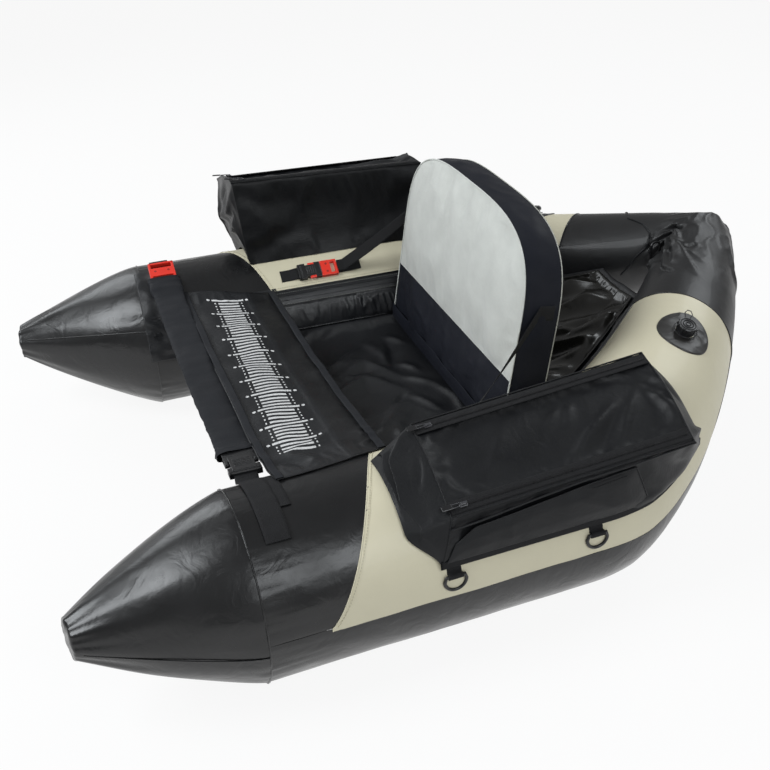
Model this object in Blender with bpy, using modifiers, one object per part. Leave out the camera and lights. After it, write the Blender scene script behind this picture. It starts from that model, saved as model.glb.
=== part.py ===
"""One-person inflatable float tube of the V kind.

Metres, +Z up, +Y towards the closed stern, +X to the sitter's left. The origin is on the floor,
below the middle of the box round the whole craft.
"""

import math

import bmesh
import bpy
from mathutils import Matrix, Vector

PART_NAME = "float_tube"

# Pontoons: the path of each tube's axis, seen from above
TUBE_RADIUS = 0.141
NOSE_BASE_X = 0.429
NOSE_BASE_Y = -0.413
BEND_X = 0.410
BEND_Y = 0.103
BEND_LEAD = 0.139
APEX_Y = 0.588
APEX_LEAD_X = 0.143
APEX_LEAD_Y = 0.091
APEX_RADIUS = 0.062
APEX_RISE = 0.257
MITRE_REACH = 0.080
TAPER_POWER = 1.24
RISE_POWER = 1.22
STRAIGHT_SHARE = 0.45
TAPER_START_SHARE = 0.485
RISE_START_SHARE = 0.50
BEND_SHARES = (0.45, 0.50, 0.55, 0.60, 0.65, 0.70, 0.745)
STERN_SEAM_SHARE = 0.79
STERN_SHARES = (0.84, 0.89, 0.93, 0.965)

# Nose cones
NOSE_TIP_X = 0.470
NOSE_TIP_Y = -0.6563
NOSE_TIP_Z = 0.158
NOSE_TIP_RADIUS = 0.032
NOSE_POWER = 1.25
NOSE_SHARES = (0.0, 0.15, 0.35, 0.60, 0.82, 1.0)

# Covers: angles in degrees round the tube, 0 outwards and 90 upwards
COVER_THICKNESS = 0.0020
SEAM_GAP = 0.0004
LAY_GAP = 0.0004
REST_HALF_ANGLE = 9.0
DECK_ANGLES = (0.0, 12.0, 27.0, 41.5, 56.0, 70.0, 89.0, 108.0, 126.0, 138.0)
WALL_ANGLES = (138.0, 155.0, 172.0)
KEEL_ANGLES = (172.0, 190.0, 208.0, 226.0, 243.5, 261.0, 279.0, 295.2, 311.4, 327.6, 343.8, 360.0)
DECK_FRONT_OUTER_Y = -0.315
DECK_FRONT_INNER_Y = -0.157
DECK_FRONT_POWER = 0.8

# Air bladders inside the covers
BLADDER_WALL = 0.0010
BLADDER_NOSE_SHARE = 0.90
BLADDER_END_SHARE = 0.93

# Valves
VALVE_SHARE = 0.722
VALVE_ANGLE = 70.0
VALVE_PATCH_RADIUS = 0.046
VALVE_PATCH_THICKNESS = 0.0016
VALVE_PATCH_GAP = 0.0008
VALVE_HOLE_RADIUS = 0.0136
VALVE_STEM_RADIUS = 0.0125
VALVE_STEM_DEPTH = 0.014
VALVE_COLLAR_RADIUS = 0.0155
VALVE_COLLAR_HEIGHT = 0.0060
VALVE_BORE_RADIUS = 0.0085
VALVE_CAP_RADIUS = 0.0165
VALVE_CAP_HEIGHT = 0.0080
VALVE_CAP_RIB_RADIUS = 0.0013
VALVE_CAP_RIBS = 12
VALVE_PLUG_RADIUS = 0.0080
VALVE_PLUG_DEPTH = 0.0060
TETHER_RING_RADIUS = 0.0195
TETHER_THICKNESS = 0.0012
TETHER_EYE_REACH = 0.030
TETHER_EYE_RADIUS = 0.0065
TETHER_EYE_BORE = 0.0035
TETHER_STRIP_WIDTH = 0.0060
TETHER_LIFT = 0.0024

# Seat pan and the floor of the bay behind it
PAN_FRONT_Y = -0.168
PAN_THICKNESS = 0.0040
PAN_SAG = 0.008
PAN_MIDDLE_SHARE = 0.30
PAN_END_SHARE = 0.865
PAN_COLUMNS = 8
LINER_START_SHARE = 0.60
LINER_THICKNESS = 0.0016
LINER_FOLD_HEIGHT = 0.016
LINER_WIDTH_SHARE = 0.80
LINER_FOLDS = 3
LINER_COLUMNS = 12

# Backrest, measured up its own slope and across
BACK_BASE_Y = 0.070
BACK_HALF_WIDTH = 0.262
BACK_SHOULDER = 0.190
BACK_HEIGHT = 0.366
BACK_DEPTH = 0.064
BACK_FOOT_LIFT = 0.016
BACK_RECLINE = 10.0
BACK_BAND = 0.112
BACK_CROWN = 0.010
BACK_TOP_POWER = 3.4
BACK_EDGE_ROUND = 0.008
BACK_CLOTH = 0.0014
BACK_RING_SHARES = (1.0, 0.86, 0.62, 0.32)
BACK_CROWN_SHARES = (0.0, 0.45, 0.85, 1.0)

# Backrest straps
STRAP_WIDTH = 0.025
STRAP_THICKNESS = 0.0012
STRAP_TAB_Y = -0.128
STRAP_BUCKLE_Y = -0.060
STRAP_ANGLE = 126.0
STRAP_TOP_HEIGHT = 0.235
STRAP_SEWN_START = 0.028
STRAP_SEWN_END = 0.054
STRAP_LEAD = 0.012
STRAP_STEPS = 8
STRAP_TAIL = 0.024

# Side-release buckles
BUCKLE_LENGTH = 0.046
BUCKLE_HEIGHT = 0.0100
BUCKLE_WALL = 0.0022
BUCKLE_BAR = 0.0045
BUCKLE_SLOT = 0.0050
BUCKLE_PRONG = 0.0055
BUCKLE_PRONG_LENGTH = 0.0240
BUCKLE_TONGUE_BASE = 0.0340
BUCKLE_PLAY = 0.0008
BUCKLE_SEAT = 0.0004
BUCKLE_MOUTH_SHARE = 0.25
STRAP_BUCKLE_WIDTH = 0.034
CROSS_BUCKLE_WIDTH = 0.050
CROSS_BUCKLE_SCALE = 1.2

# Cross strap
CROSS_Y = -0.368
CROSS_WIDTH = 0.042
CROSS_THICKNESS = 0.0040
CROSS_HANDLE_SHARE = 0.12
CROSS_COLUMNS = 10
CROSS_WEB_WIDTH = 0.036
CROSS_WEB_THICKNESS = 0.0016
RIGHT_BUCKLE_ANGLE = 108.0
RIGHT_WEB_END_ANGLE = 66.0
LEFT_BUCKLE_DROP = 0.0373
LEFT_BUCKLE_LEAN = 6.0
LEFT_BUCKLE_GAP = 0.008
LEFT_WEB_START_ANGLE = 129.0
LEFT_WEB_END_ANGLE = 57.0

# Apron
APRON_FRONT_Y = -0.322
APRON_REAR_Y = -0.162
APRON_THICKNESS = 0.0012
APRON_SAG = 0.014
APRON_EDGE_LIFT = 0.0011
APRON_COLUMNS = 12
APRON_ROWS = 4

# Pockets: the right one stands taller. Rises over the pontoon's top run inner front, inner rear,
# outer front, outer rear, and the two angles say how far round the pontoon the top edges lie
POCKET_CLEARANCE = 0.0006
POCKET_INNER_ANGLE = 99.0
POCKET_OUTER_ANGLE = 16.8
POCKET_CROWN = 0.010
POCKET_HEM_ANGLE = 18.5
POCKET_HEM_LIFT = 0.006
POCKET_ROOT = 0.045
POCKET_STEPS = 6
LEFT_POCKET = {
    "front_y": -0.132,
    "rear_y": 0.245,
    "rises": (0.0377, 0.0717, -0.0243, 0.0037),
    "foot_y": -0.200,
    "end_share": 0.61,
    "heel_angle": 96.0,
}
RIGHT_POCKET = {
    "front_y": -0.212,
    "rear_y": 0.180,
    "rises": (0.1657, 0.1437, 0.1237, 0.1077),
    "foot_y": -0.195,
    "end_share": 0.575,
    "heel_angle": 110.0,
}

# Zip sliders
SLIDER_LENGTH = 0.012
SLIDER_WIDTH = 0.008
SLIDER_HEIGHT = 0.004
SLIDER_GAP = 0.0006
SLIDER_EDGE_INSET = 0.014
SLIDER_START = 0.022
PULL_LENGTH = 0.024
PULL_WIDTH = 0.006
PULL_THICKNESS = 0.0014

# D-rings with their webbing tabs
RING_FRONT_Y = -0.140
RING_REAR_Y = 0.085
RING_ANGLE = 12.0
RING_WIRE_RADIUS = 0.0020
RING_HALF_WIDTH = 0.0165
RING_DROP = 0.0240
TAB_WIDTH = 0.022
TAB_BORE_RADIUS = 0.0030
TAB_SLEEVE_RADIUS = 0.0044
TAB_LENGTH = 0.010
TAB_STRIP_SHARES = (0.15, 0.85)
TAB_STRIP_WIDTH_SHARE = 0.96
TAB_LIFT = 0.0005

# Ring pull of the zip at the stern's inner edge
STERN_PULL_ANGLE = 160.0
STERN_PULL_GAP = 0.007
STERN_PULL_LENGTH = 0.050
STERN_PULL_WIDTH = 0.022
STERN_PULL_BAR = 0.0035
STERN_PULL_THICKNESS = 0.0030

UP = Vector((0.0, 0.0, 1.0))
RIGHT_SIDE = -1
LEFT_SIDE = 1
SIDE_NAMES = {LEFT_SIDE: "left", RIGHT_SIDE: "right"}
CUT_OVERRUN = 0.010
FLATNESS = 0.00001


def clear_scene():
    """Empties the file of objects, and makes the two collections."""
    for old in list(bpy.data.objects):
        bpy.data.objects.remove(old, do_unlink=True)
    found = {}
    for name in (PART_NAME, "cutters"):
        found[name] = bpy.data.collections.new(name)
        bpy.context.scene.collection.children.link(found[name])
    return found[PART_NAME], found["cutters"]


PARTS, CUTTERS = clear_scene()


def material(name, colour, roughness, metallic=0.0):
    """A Principled material of one colour."""
    made = bpy.data.materials.new(name)
    made.use_nodes = True
    shader = made.node_tree.nodes["Principled BSDF"]
    shader.inputs["Base Color"].default_value = (*colour, 1.0)
    shader.inputs["Roughness"].default_value = roughness
    shader.inputs["Metallic"].default_value = metallic
    return made


BLACK_PVC = material("black_pvc", (0.012, 0.012, 0.013), 0.38)
BEIGE_PVC = material("beige_pvc", (0.62, 0.58, 0.42), 0.50)
BLADDER_FILM = material("bladder_film", (0.55, 0.60, 0.62), 0.30)
BLACK_NYLON = material("black_nylon", (0.012, 0.014, 0.020), 0.70)
GREY_CLOTH = material("grey_cloth", (0.56, 0.58, 0.54), 0.75)
FOAM = material("foam", (0.75, 0.74, 0.68), 0.95)
WEBBING = material("webbing", (0.010, 0.010, 0.012), 0.80)
BLACK_PLASTIC = material("black_plastic", (0.010, 0.010, 0.011), 0.35)
RED_PLASTIC = material("red_plastic", (0.85, 0.05, 0.03), 0.40)
VALVE_RUBBER = material("valve_rubber", (0.020, 0.020, 0.022), 0.45)
LINER_FILM = material("liner_film", (0.015, 0.015, 0.014), 0.15)


def add_object(name, mesh, finish, collection=PARTS):
    """Wraps a mesh in a named object."""
    made = bpy.data.objects.new(name, mesh)
    collection.objects.link(made)
    if finish is not None:
        mesh.materials.append(finish)
    if collection is CUTTERS:
        made.hide_render = True
        made.display_type = "WIRE"
    return made


def mesh_from(name, bm):
    """Turns a bmesh into a mesh whose faces point outwards."""
    bmesh.ops.recalc_face_normals(bm, faces=bm.faces)
    mesh = bpy.data.meshes.new(name)
    bm.to_mesh(mesh)
    bm.free()
    return mesh


def mix(low, high, share):
    return low + (high - low) * share


def clamp(value):
    return min(max(value, 0.0), 1.0)


def add_quad(bm, corners, lean):
    """A face between four corners, split along one chosen diagonal where it isn't flat."""
    a, b, c, d = (v.co for v in corners)
    square = (b - a).cross(c - a)
    if square.length == 0 or abs(square.normalized().dot(d - a)) < FLATNESS:
        bm.faces.new(corners)
        return
    first, second = ((0, 1, 2), (0, 2, 3)) if lean > 0 else ((0, 1, 3), (1, 2, 3))
    bm.faces.new([corners[k] for k in first])
    bm.faces.new([corners[k] for k in second])


def skin_rows(bm, rows, wrap, leans=None):
    """Faces between each row of vertices and the next. Leans says which way each row's quads split."""
    for i, (near, far) in enumerate(zip(rows, rows[1:])):
        count = len(near)
        lean = leans[i] if leans else 1
        for j in range(count if wrap else count - 1):
            k = (j + 1) % count
            add_quad(bm, (near[j], near[k], far[k], far[j]), -lean)


def loft_solid(name, rings, finish, collection=PARTS):
    """A solid skinned over closed rings of points, with a flat cap at each end."""
    bm = bmesh.new()
    rows = [[bm.verts.new(p) for p in ring] for ring in rings]
    skin_rows(bm, rows, wrap=True)
    bm.faces.new(rows[0])
    bm.faces.new(rows[-1])
    return add_object(name, mesh_from(name, bm), finish, collection)


def loft_shell(name, outer, inner, finish, wrap=False, caps=(False, False), leans=None):
    """A thin wall between two skins of matching rows. A capped end is closed across both skins."""
    bm = bmesh.new()
    out_rows = [[bm.verts.new(p) for p in row] for row in outer]
    in_rows = [[bm.verts.new(p) for p in row] for row in inner]
    skin_rows(bm, out_rows, wrap, leans)
    skin_rows(bm, in_rows, wrap, leans)
    for end, capped in zip((0, -1), caps):
        if capped:
            bm.faces.new(out_rows[end])
            bm.faces.new(in_rows[end])
        else:
            skin_rows(bm, [out_rows[end], in_rows[end]], wrap)
    if not wrap:
        for edge in (0, -1):
            skin_rows(bm, [[r[edge] for r in out_rows], [r[edge] for r in in_rows]], wrap=False)
    return add_object(name, mesh_from(name, bm), finish)


def place_mesh(bm, matrix):
    bmesh.ops.transform(bm, matrix=matrix, verts=bm.verts)


def box_mesh(name, low, high, matrix=Matrix.Identity(4)):
    """A box between two corners, set into a frame."""
    bm = bmesh.new()
    bmesh.ops.create_cube(bm, size=1.0)
    size = Vector(high) - Vector(low)
    middle = (Vector(high) + Vector(low)) / 2
    place_mesh(bm, matrix @ Matrix.Translation(middle) @ Matrix.Diagonal((*size, 1.0)))
    return mesh_from(name, bm)


def cylinder_mesh(name, radius, bottom, top, matrix=Matrix.Identity(4), sides=24):
    """An upright cylinder between two heights of a frame."""
    bm = bmesh.new()
    bmesh.ops.create_cone(
        bm, cap_ends=True, segments=sides, radius1=radius, radius2=radius, depth=top - bottom
    )
    place_mesh(bm, matrix @ Matrix.Translation((0.0, 0.0, (top + bottom) / 2)))
    return mesh_from(name, bm)


def combine(target, tool, operation):
    """Joins a solid to another, or cuts it away, with an exact Boolean that stays on the object."""
    modifier = target.modifiers.new(operation.lower(), "BOOLEAN")
    modifier.operation = operation
    modifier.solver = "EXACT"
    modifier.object = tool


def cut(target, mesh):
    combine(target, add_object(mesh.name, mesh, None, CUTTERS), "DIFFERENCE")


def join(target, mesh):
    combine(target, add_object(mesh.name, mesh, None, CUTTERS), "UNION")


def put_origin(target, place):
    """Moves an object's origin onto its joint's axis, and leaves its shape where it is."""
    shift = target.matrix_world.inverted() @ place
    target.data.transform(Matrix.Translation(-shift))
    target.matrix_world = target.matrix_world @ Matrix.Translation(shift)


def tube_share(y):
    """The share of the axis path at a given y of the straight run."""
    return (y - NOSE_BASE_Y) / (BEND_Y - NOSE_BASE_Y) * STRAIGHT_SHARE


def straight_direction():
    return (Vector((BEND_X, BEND_Y)) - Vector((NOSE_BASE_X, NOSE_BASE_Y))).normalized()


def axis_point(share):
    """The tube's axis seen from above: a straight run, then one cubic curve to the apex."""
    start, bend = Vector((NOSE_BASE_X, NOSE_BASE_Y)), Vector((BEND_X, BEND_Y))
    if share <= STRAIGHT_SHARE:
        return start.lerp(bend, share / STRAIGHT_SHARE)
    u = (share - STRAIGHT_SHARE) / (1 - STRAIGHT_SHARE)
    lead = bend + straight_direction() * BEND_LEAD
    arrive = Vector((APEX_LEAD_X, APEX_Y - APEX_LEAD_Y))
    apex = Vector((0.0, APEX_Y))
    v = 1 - u
    return bend * v**3 + lead * (3 * v * v * u) + arrive * (3 * v * u * u) + apex * u**3


def axis_direction(share):
    """The way the axis runs, towards the stern."""
    if share <= STRAIGHT_SHARE:
        return straight_direction()
    u = (share - STRAIGHT_SHARE) / (1 - STRAIGHT_SHARE)
    bend = Vector((BEND_X, BEND_Y))
    lead = bend + straight_direction() * BEND_LEAD
    arrive = Vector((APEX_LEAD_X, APEX_Y - APEX_LEAD_Y))
    apex = Vector((0.0, APEX_Y))
    v = 1 - u
    return ((lead - bend) * v * v + (arrive - lead) * (2 * v * u) + (apex - arrive) * u * u).normalized()


def across(share):
    """The outward direction of the section plane, and its stretch where the stern is mitred."""
    way = axis_direction(share)
    square = Vector((way.y, -way.x))
    turn = clamp(axis_point(share).x / MITRE_REACH)
    plane = Vector((square.x * turn, square.y)).normalized()
    return plane, 1 / plane.dot(square)


def tube_radius(share):
    u = clamp((share - TAPER_START_SHARE) / (1 - TAPER_START_SHARE))
    return mix(TUBE_RADIUS, APEX_RADIUS, u**TAPER_POWER)


def tube_height(share):
    """The height of the axis. The flat facets under the straight run touch the floor."""
    u = clamp((share - RISE_START_SHARE) / (1 - RISE_START_SHARE))
    return tube_radius(share) * math.cos(math.radians(REST_HALF_ANGLE)) + APEX_RISE * u**RISE_POWER


def hull_point(share, angle, lift=0.0, side=LEFT_SIDE):
    """A point of the tube's surface, or above it by lift."""
    centre = axis_point(share)
    plane, stretch = across(share)
    reach = (tube_radius(share) + lift) * math.cos(math.radians(angle)) * stretch
    rise = (tube_radius(share) + lift) * math.sin(math.radians(angle))
    sideways = side * (centre.x + plane.x * reach)
    return Vector((sideways, centre.y + plane.y * reach, tube_height(share) + rise))


def hull_frame(share, angle, lift=0.0, side=LEFT_SIDE):
    """A frame on the surface: Z square to it, Y along the tube to the stern, X the rest."""
    step = 0.001
    degree = 0.5
    along = hull_point(share + step, angle, lift, side) - hull_point(share - step, angle, lift, side)
    round_way = hull_point(share, angle + degree, lift, side) - hull_point(share, angle - degree, lift, side)
    along.normalize()
    outward = along.cross(round_way).normalized()
    centre = axis_point(share)
    middle = Vector((side * centre.x, centre.y, tube_height(share)))
    if outward.dot(hull_point(share, angle, lift, side) - middle) < 0:
        outward = -outward
    turn = Matrix((along.cross(outward), along, outward)).transposed().to_4x4()
    return Matrix.Translation(hull_point(share, angle, lift, side)) @ turn


def path_gap(share, gap=SEAM_GAP):
    """The share of the path that half a seam's gap takes."""
    step = 0.001
    run = (axis_point(share + step) - axis_point(share - step)).length / (2 * step)
    return gap / 2 / run


def nose_point(share, angle, lift=0.0, side=LEFT_SIDE):
    """A point of the nose cone's surface, from its base ring to its tip disc."""
    base = Vector((NOSE_BASE_X, NOSE_BASE_Y, tube_height(0.0)))
    tip = Vector((NOSE_TIP_X, NOSE_TIP_Y, NOSE_TIP_Z))
    centre = base.lerp(tip, share)
    way = (base - tip).to_2d().normalized()
    plane = across(0.0)[0].lerp(Vector((way.y, -way.x)), share).normalized()
    radius = mix(TUBE_RADIUS, NOSE_TIP_RADIUS, share**NOSE_POWER) + lift
    reach = radius * math.cos(math.radians(angle))
    rise = radius * math.sin(math.radians(angle))
    return Vector((side * (centre.x + plane.x * reach), centre.y + plane.y * reach, centre.z + rise))


def inset_angles(angles, share):
    """The stations of a panel, with half a seam's gap taken off at both edges."""
    half = math.degrees(SEAM_GAP / 2 / tube_radius(share))
    return [angles[0] + half, *angles[1:-1], angles[-1] - half]


def ring_angles():
    """Every station round the tube once."""
    return [*DECK_ANGLES, *WALL_ANGLES[1:], *KEEL_ANGLES[1:-1]]


def panel(name, finish, angles, stations, side):
    """A cover panel: stations gives each row's share of the path at an angle."""

    def rows(lift):
        made = []
        for station in stations:
            edges = inset_angles(angles, station(angles[0]))
            made.append([hull_point(station(a), e, lift, side) for a, e in zip(angles, edges)])
        return made

    return loft_shell(name, rows(0.0), rows(-COVER_THICKNESS), finish)


def deck_front(angle):
    """The slanted front seam of the deck panel, as a share of the path."""
    sweep = (angle / DECK_ANGLES[-1]) ** DECK_FRONT_POWER
    return tube_share(mix(DECK_FRONT_OUTER_Y, DECK_FRONT_INNER_Y, sweep))


def fixed(share):
    return lambda angle: share


def build_covers(side):
    """The panels of one pontoon between its nose and the stern seam."""
    name = SIDE_NAMES[side]
    start = fixed(path_gap(0.0))
    end = fixed(STERN_SEAM_SHARE - path_gap(STERN_SEAM_SHARE))
    bends = [fixed(s) for s in BEND_SHARES]
    before = [start, lambda a: deck_front(a) - path_gap(0.0)]
    after = [lambda a: deck_front(a) + path_gap(0.0), *bends, end]
    panel(name + "_fore_panel", BLACK_PVC, DECK_ANGLES, before, side)
    deck = panel(name + "_deck_panel", BEIGE_PVC, DECK_ANGLES, after, side)
    panel(name + "_inner_wall", BLACK_NYLON, WALL_ANGLES, [start, *bends, end], side)
    panel(name + "_keel_panel", BLACK_PVC, KEEL_ANGLES, [start, *bends, end], side)
    return deck


def build_nose(side):
    """A nose cone: a turned cover with a flat disc at its tip."""
    gap = SEAM_GAP / 2 / (NOSE_BASE_Y - NOSE_TIP_Y)
    shares = [gap, *NOSE_SHARES[1:]]
    outer = [[nose_point(s, a, 0.0, side) for a in ring_angles()] for s in shares]
    shares[-1] = 1 - COVER_THICKNESS / (NOSE_BASE_Y - NOSE_TIP_Y)
    inner = [[nose_point(s, a, -COVER_THICKNESS, side) for a in ring_angles()] for s in shares]
    loft_shell(SIDE_NAMES[side] + "_nose_cone", outer, inner, BLACK_PVC, wrap=True, caps=(False, True))


def build_stern():
    """The stern cover: one tube from seam to seam, mitred at the apex."""
    first = STERN_SEAM_SHARE + path_gap(STERN_SEAM_SHARE)
    shares = [first, *STERN_SHARES]

    def rows(lift):
        left = [[hull_point(s, a, lift, LEFT_SIDE) for a in ring_angles()] for s in shares]
        apex = [hull_point(1.0, a, lift) for a in ring_angles()]
        right = [[hull_point(s, a, lift, RIGHT_SIDE) for a in ring_angles()] for s in reversed(shares)]
        return [*left, apex, *right]

    leans = [1] * len(shares) + [-1] * len(shares)
    loft_shell("stern_cover", rows(0.0), rows(-COVER_THICKNESS), BLACK_PVC, wrap=True, leans=leans)


def build_bladder(side):
    """An air bladder: a closed thin-walled tube with a hole for its valve."""
    outside = -COVER_THICKNESS - LAY_GAP

    def rows(lift, trim):
        nose = [s for s in reversed(NOSE_SHARES[1:]) if s < BLADDER_NOSE_SHARE]
        front = BLADDER_NOSE_SHARE - trim / (NOSE_BASE_Y - NOSE_TIP_Y)
        shares = [front, *nose]
        made = [[nose_point(s, a, lift, side) for a in ring_angles()] for s in shares]
        stern = [0.0, *BEND_SHARES, STERN_SEAM_SHARE, *STERN_SHARES[:-2]]
        stern.append(BLADDER_END_SHARE - path_gap(BLADDER_END_SHARE, 2 * trim))
        made += [[hull_point(s, a, lift, side) for a in ring_angles()] for s in stern]
        return made

    nose_count = len([s for s in NOSE_SHARES[1:] if s < BLADDER_NOSE_SHARE]) + 1
    leans = [-1] * nose_count + [1] * (len(rows(0.0, 0.0)) - nose_count - 1)
    made = loft_shell(
        SIDE_NAMES[side] + "_bladder",
        rows(outside, 0.0),
        rows(outside - BLADDER_WALL, BLADDER_WALL),
        BLADDER_FILM,
        wrap=True,
        caps=(True, True),
        leans=leans,
    )
    return made


def turned(name, profile, matrix, finish, steps=24):
    """A solid turned round a frame's Z axis from radius and height pairs, top to bottom outside."""
    bm = bmesh.new()
    corners = [bm.verts.new((r, 0.0, z)) for r, z in profile]
    for a, b in zip(corners, [*corners[1:], corners[0]]):
        bm.edges.new((a, b))
    turn = {"axis": (0.0, 0.0, 1.0), "cent": (0.0, 0.0, 0.0), "dvec": (0.0, 0.0, 0.0)}
    profile = bm.verts[:] + bm.edges[:]
    bmesh.ops.spin(bm, geom=profile, angle=2 * math.pi, steps=steps, use_merge=True, **turn)
    place_mesh(bm, matrix)
    return add_object(name, mesh_from(name, bm), finish)


def surface_below(frame, x, y, share, angle, side):
    """The path share and angle of the surface point under a place in a frame's plane."""
    step_share, step_angle = 0.001, 0.1
    back = frame.inverted()
    for _ in range(4):
        here = back @ hull_point(share, angle, 0.0, side)
        along = (back @ hull_point(share + step_share, angle, 0.0, side) - here) / step_share
        around = (back @ hull_point(share, angle + step_angle, 0.0, side) - here) / step_angle
        miss_x, miss_y = x - here.x, y - here.y
        scale = along.x * around.y - along.y * around.x
        share += (miss_x * around.y - miss_y * around.x) / scale
        angle += (along.x * miss_y - along.y * miss_x) / scale
    return share, angle


def build_valve_patch(side, frame):
    """The round patch, bent to the deck it is welded on."""
    hole = VALVE_HOLE_RADIUS
    rings = (VALVE_PATCH_RADIUS, (hole + VALVE_PATCH_RADIUS) / 2, hole)
    spokes = 24
    places = []
    for radius in rings:
        turns = [2 * math.pi * k / spokes for k in range(spokes)]
        spots = [(radius * math.cos(a), radius * math.sin(a)) for a in turns]
        places.append([surface_below(frame, x, y, VALVE_SHARE, VALVE_ANGLE, side) for x, y in spots])

    def rows(lift):
        return [[hull_point(share, angle, lift, side) for share, angle in row] for row in places]

    top = rows(VALVE_PATCH_GAP + VALVE_PATCH_THICKNESS)
    loft_shell(SIDE_NAMES[side] + "_valve_patch", top, rows(VALVE_PATCH_GAP), VALVE_RUBBER, wrap=True)


def build_valve(side, deck, bladder):
    """A valve: the holes for it, its bored base, its screw cap and the cap's tether."""
    name = SIDE_NAMES[side]
    frame = hull_frame(VALVE_SHARE, VALVE_ANGLE, 0.0, side)
    for target in (deck, bladder):
        hole = cylinder_mesh(
            target.name + "_hole", VALVE_HOLE_RADIUS, -VALVE_STEM_DEPTH - CUT_OVERRUN, CUT_OVERRUN, frame
        )
        cut(target, hole)
    build_valve_patch(side, frame)
    seat = VALVE_PATCH_GAP + VALVE_PATCH_THICKNESS + LAY_GAP
    top = seat + TETHER_THICKNESS + VALVE_COLLAR_HEIGHT
    neck = [
        (VALVE_BORE_RADIUS, top),
        (VALVE_COLLAR_RADIUS, top),
        (VALVE_COLLAR_RADIUS, seat),
        (VALVE_STEM_RADIUS, seat),
        (VALVE_STEM_RADIUS, -VALVE_STEM_DEPTH),
        (VALVE_BORE_RADIUS, -VALVE_STEM_DEPTH),
    ]
    turned(name + "_valve_base", neck, frame, BLACK_PLASTIC)
    build_tether(name, frame, seat)
    low, high = top + LAY_GAP, top + LAY_GAP + VALVE_CAP_HEIGHT
    cap_frame = frame @ Matrix.Translation((0.0, 0.0, low))
    cap_top = high - low
    soft = VALVE_CAP_RIB_RADIUS
    profile = [
        (0.0, cap_top),
        (VALVE_CAP_RADIUS - soft, cap_top),
        (VALVE_CAP_RADIUS, cap_top - soft),
        (VALVE_CAP_RADIUS, 0.0),
        (VALVE_PLUG_RADIUS, 0.0),
        (VALVE_PLUG_RADIUS, -VALVE_PLUG_DEPTH),
        (0.0, -VALVE_PLUG_DEPTH),
    ]
    cap = turned_core(name + "_valve_cap", profile, BLACK_PLASTIC)
    cap.matrix_world = cap_frame
    for k in range(VALVE_CAP_RIBS):
        spin = Matrix.Rotation(2 * math.pi * k / VALVE_CAP_RIBS, 4, "Z")
        at = cap_frame @ spin @ Matrix.Translation((VALVE_CAP_RADIUS, 0.0, 0.0))
        label = f"{name}_cap_rib_{k}"
        rib = cylinder_mesh(label, VALVE_CAP_RIB_RADIUS, soft / 2, cap_top - 2 * soft, at, sides=6)
        join(cap, rib)


def turned_core(name, profile, finish, steps=24):
    """A turned solid whose profile starts and ends on the axis, made with a Screw modifier."""
    bm = bmesh.new()
    corners = [bm.verts.new((r, 0.0, z)) for r, z in profile]
    for a, b in zip(corners, corners[1:]):
        bm.edges.new((a, b))
    mesh = bpy.data.meshes.new(name)
    bm.to_mesh(mesh)
    bm.free()
    made = add_object(name, mesh, finish)
    screw = made.modifiers.new("turn", "SCREW")
    screw.axis = "Z"
    screw.steps = screw.render_steps = steps
    screw.use_merge_vertices = True
    screw.merge_threshold = 0.00001
    return made


def arc_points(radius, first, last, steps, centre=(0.0, 0.0)):
    """Points along an arc, from the first angle to the last."""
    turns = [mix(first, last, k / steps) for k in range(steps + 1)]
    return [(centre[0] + radius * math.cos(a), centre[1] + radius * math.sin(a)) for a in turns]


def plate(name, outlines, low, high, finish, matrix):
    """A flat plate cut from outlines, the first its edge and the rest its holes."""
    data = bpy.data.curves.new(name, "CURVE")
    data.dimensions = "2D"
    data.fill_mode = "BOTH"
    data.extrude = (high - low) / 2
    for outline in outlines:
        spline = data.splines.new("POLY")
        spline.points.add(len(outline) - 1)
        for target, (x, y) in zip(spline.points, outline):
            target.co = (x, y, 0.0, 1.0)
        spline.use_cyclic_u = True
    data.materials.append(finish)
    made = bpy.data.objects.new(name, data)
    PARTS.objects.link(made)
    made.matrix_world = matrix @ Matrix.Translation((0.0, 0.0, (low + high) / 2))
    return made


def build_tether(name, frame, seat):
    """The cap's tether: a flat ring round the collar, with a strip out to a small eye."""
    full = 2 * math.pi
    lean = math.asin(TETHER_STRIP_WIDTH / 2 / TETHER_RING_RADIUS)
    eye_lean = math.asin(TETHER_STRIP_WIDTH / 2 / TETHER_EYE_RADIUS)
    edge = arc_points(TETHER_RING_RADIUS, lean, full - lean, 24)
    eye_turn = math.pi - eye_lean
    edge += arc_points(TETHER_EYE_RADIUS, -eye_turn, eye_turn, 12, (TETHER_EYE_REACH, 0.0))
    bore = arc_points(VALVE_COLLAR_RADIUS + LAY_GAP, 0.0, full * 23 / 24, 23)
    eye = arc_points(TETHER_EYE_BORE, 0.0, full * 11 / 12, 11, (TETHER_EYE_REACH, 0.0))
    low = seat + LAY_GAP
    at = frame @ Matrix.Translation((0.0, 0.0, TETHER_LIFT)) @ Matrix.Rotation(-math.pi / 2, 4, "Z")
    plate(name + "_valve_tether", (edge, bore, eye), low, low + TETHER_THICKNESS, VALVE_RUBBER, at)


def pan_shares():
    stations = (*BEND_SHARES, STERN_SEAM_SHARE, STERN_SHARES[0])
    inner = [s for s in stations if s < PAN_END_SHARE]
    return [tube_share(PAN_FRONT_Y), PAN_MIDDLE_SHARE, *inner, PAN_END_SHARE]


def pan_point(share, across_share, lift):
    """A point of the seat pan, which sags between the two walls' lower edges."""
    edge = hull_point(share, WALL_ANGLES[-1], LAY_GAP)
    sag = PAN_SAG * (1 - across_share**2)
    return Vector((edge.x * across_share, edge.y, edge.z - sag + lift))


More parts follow.
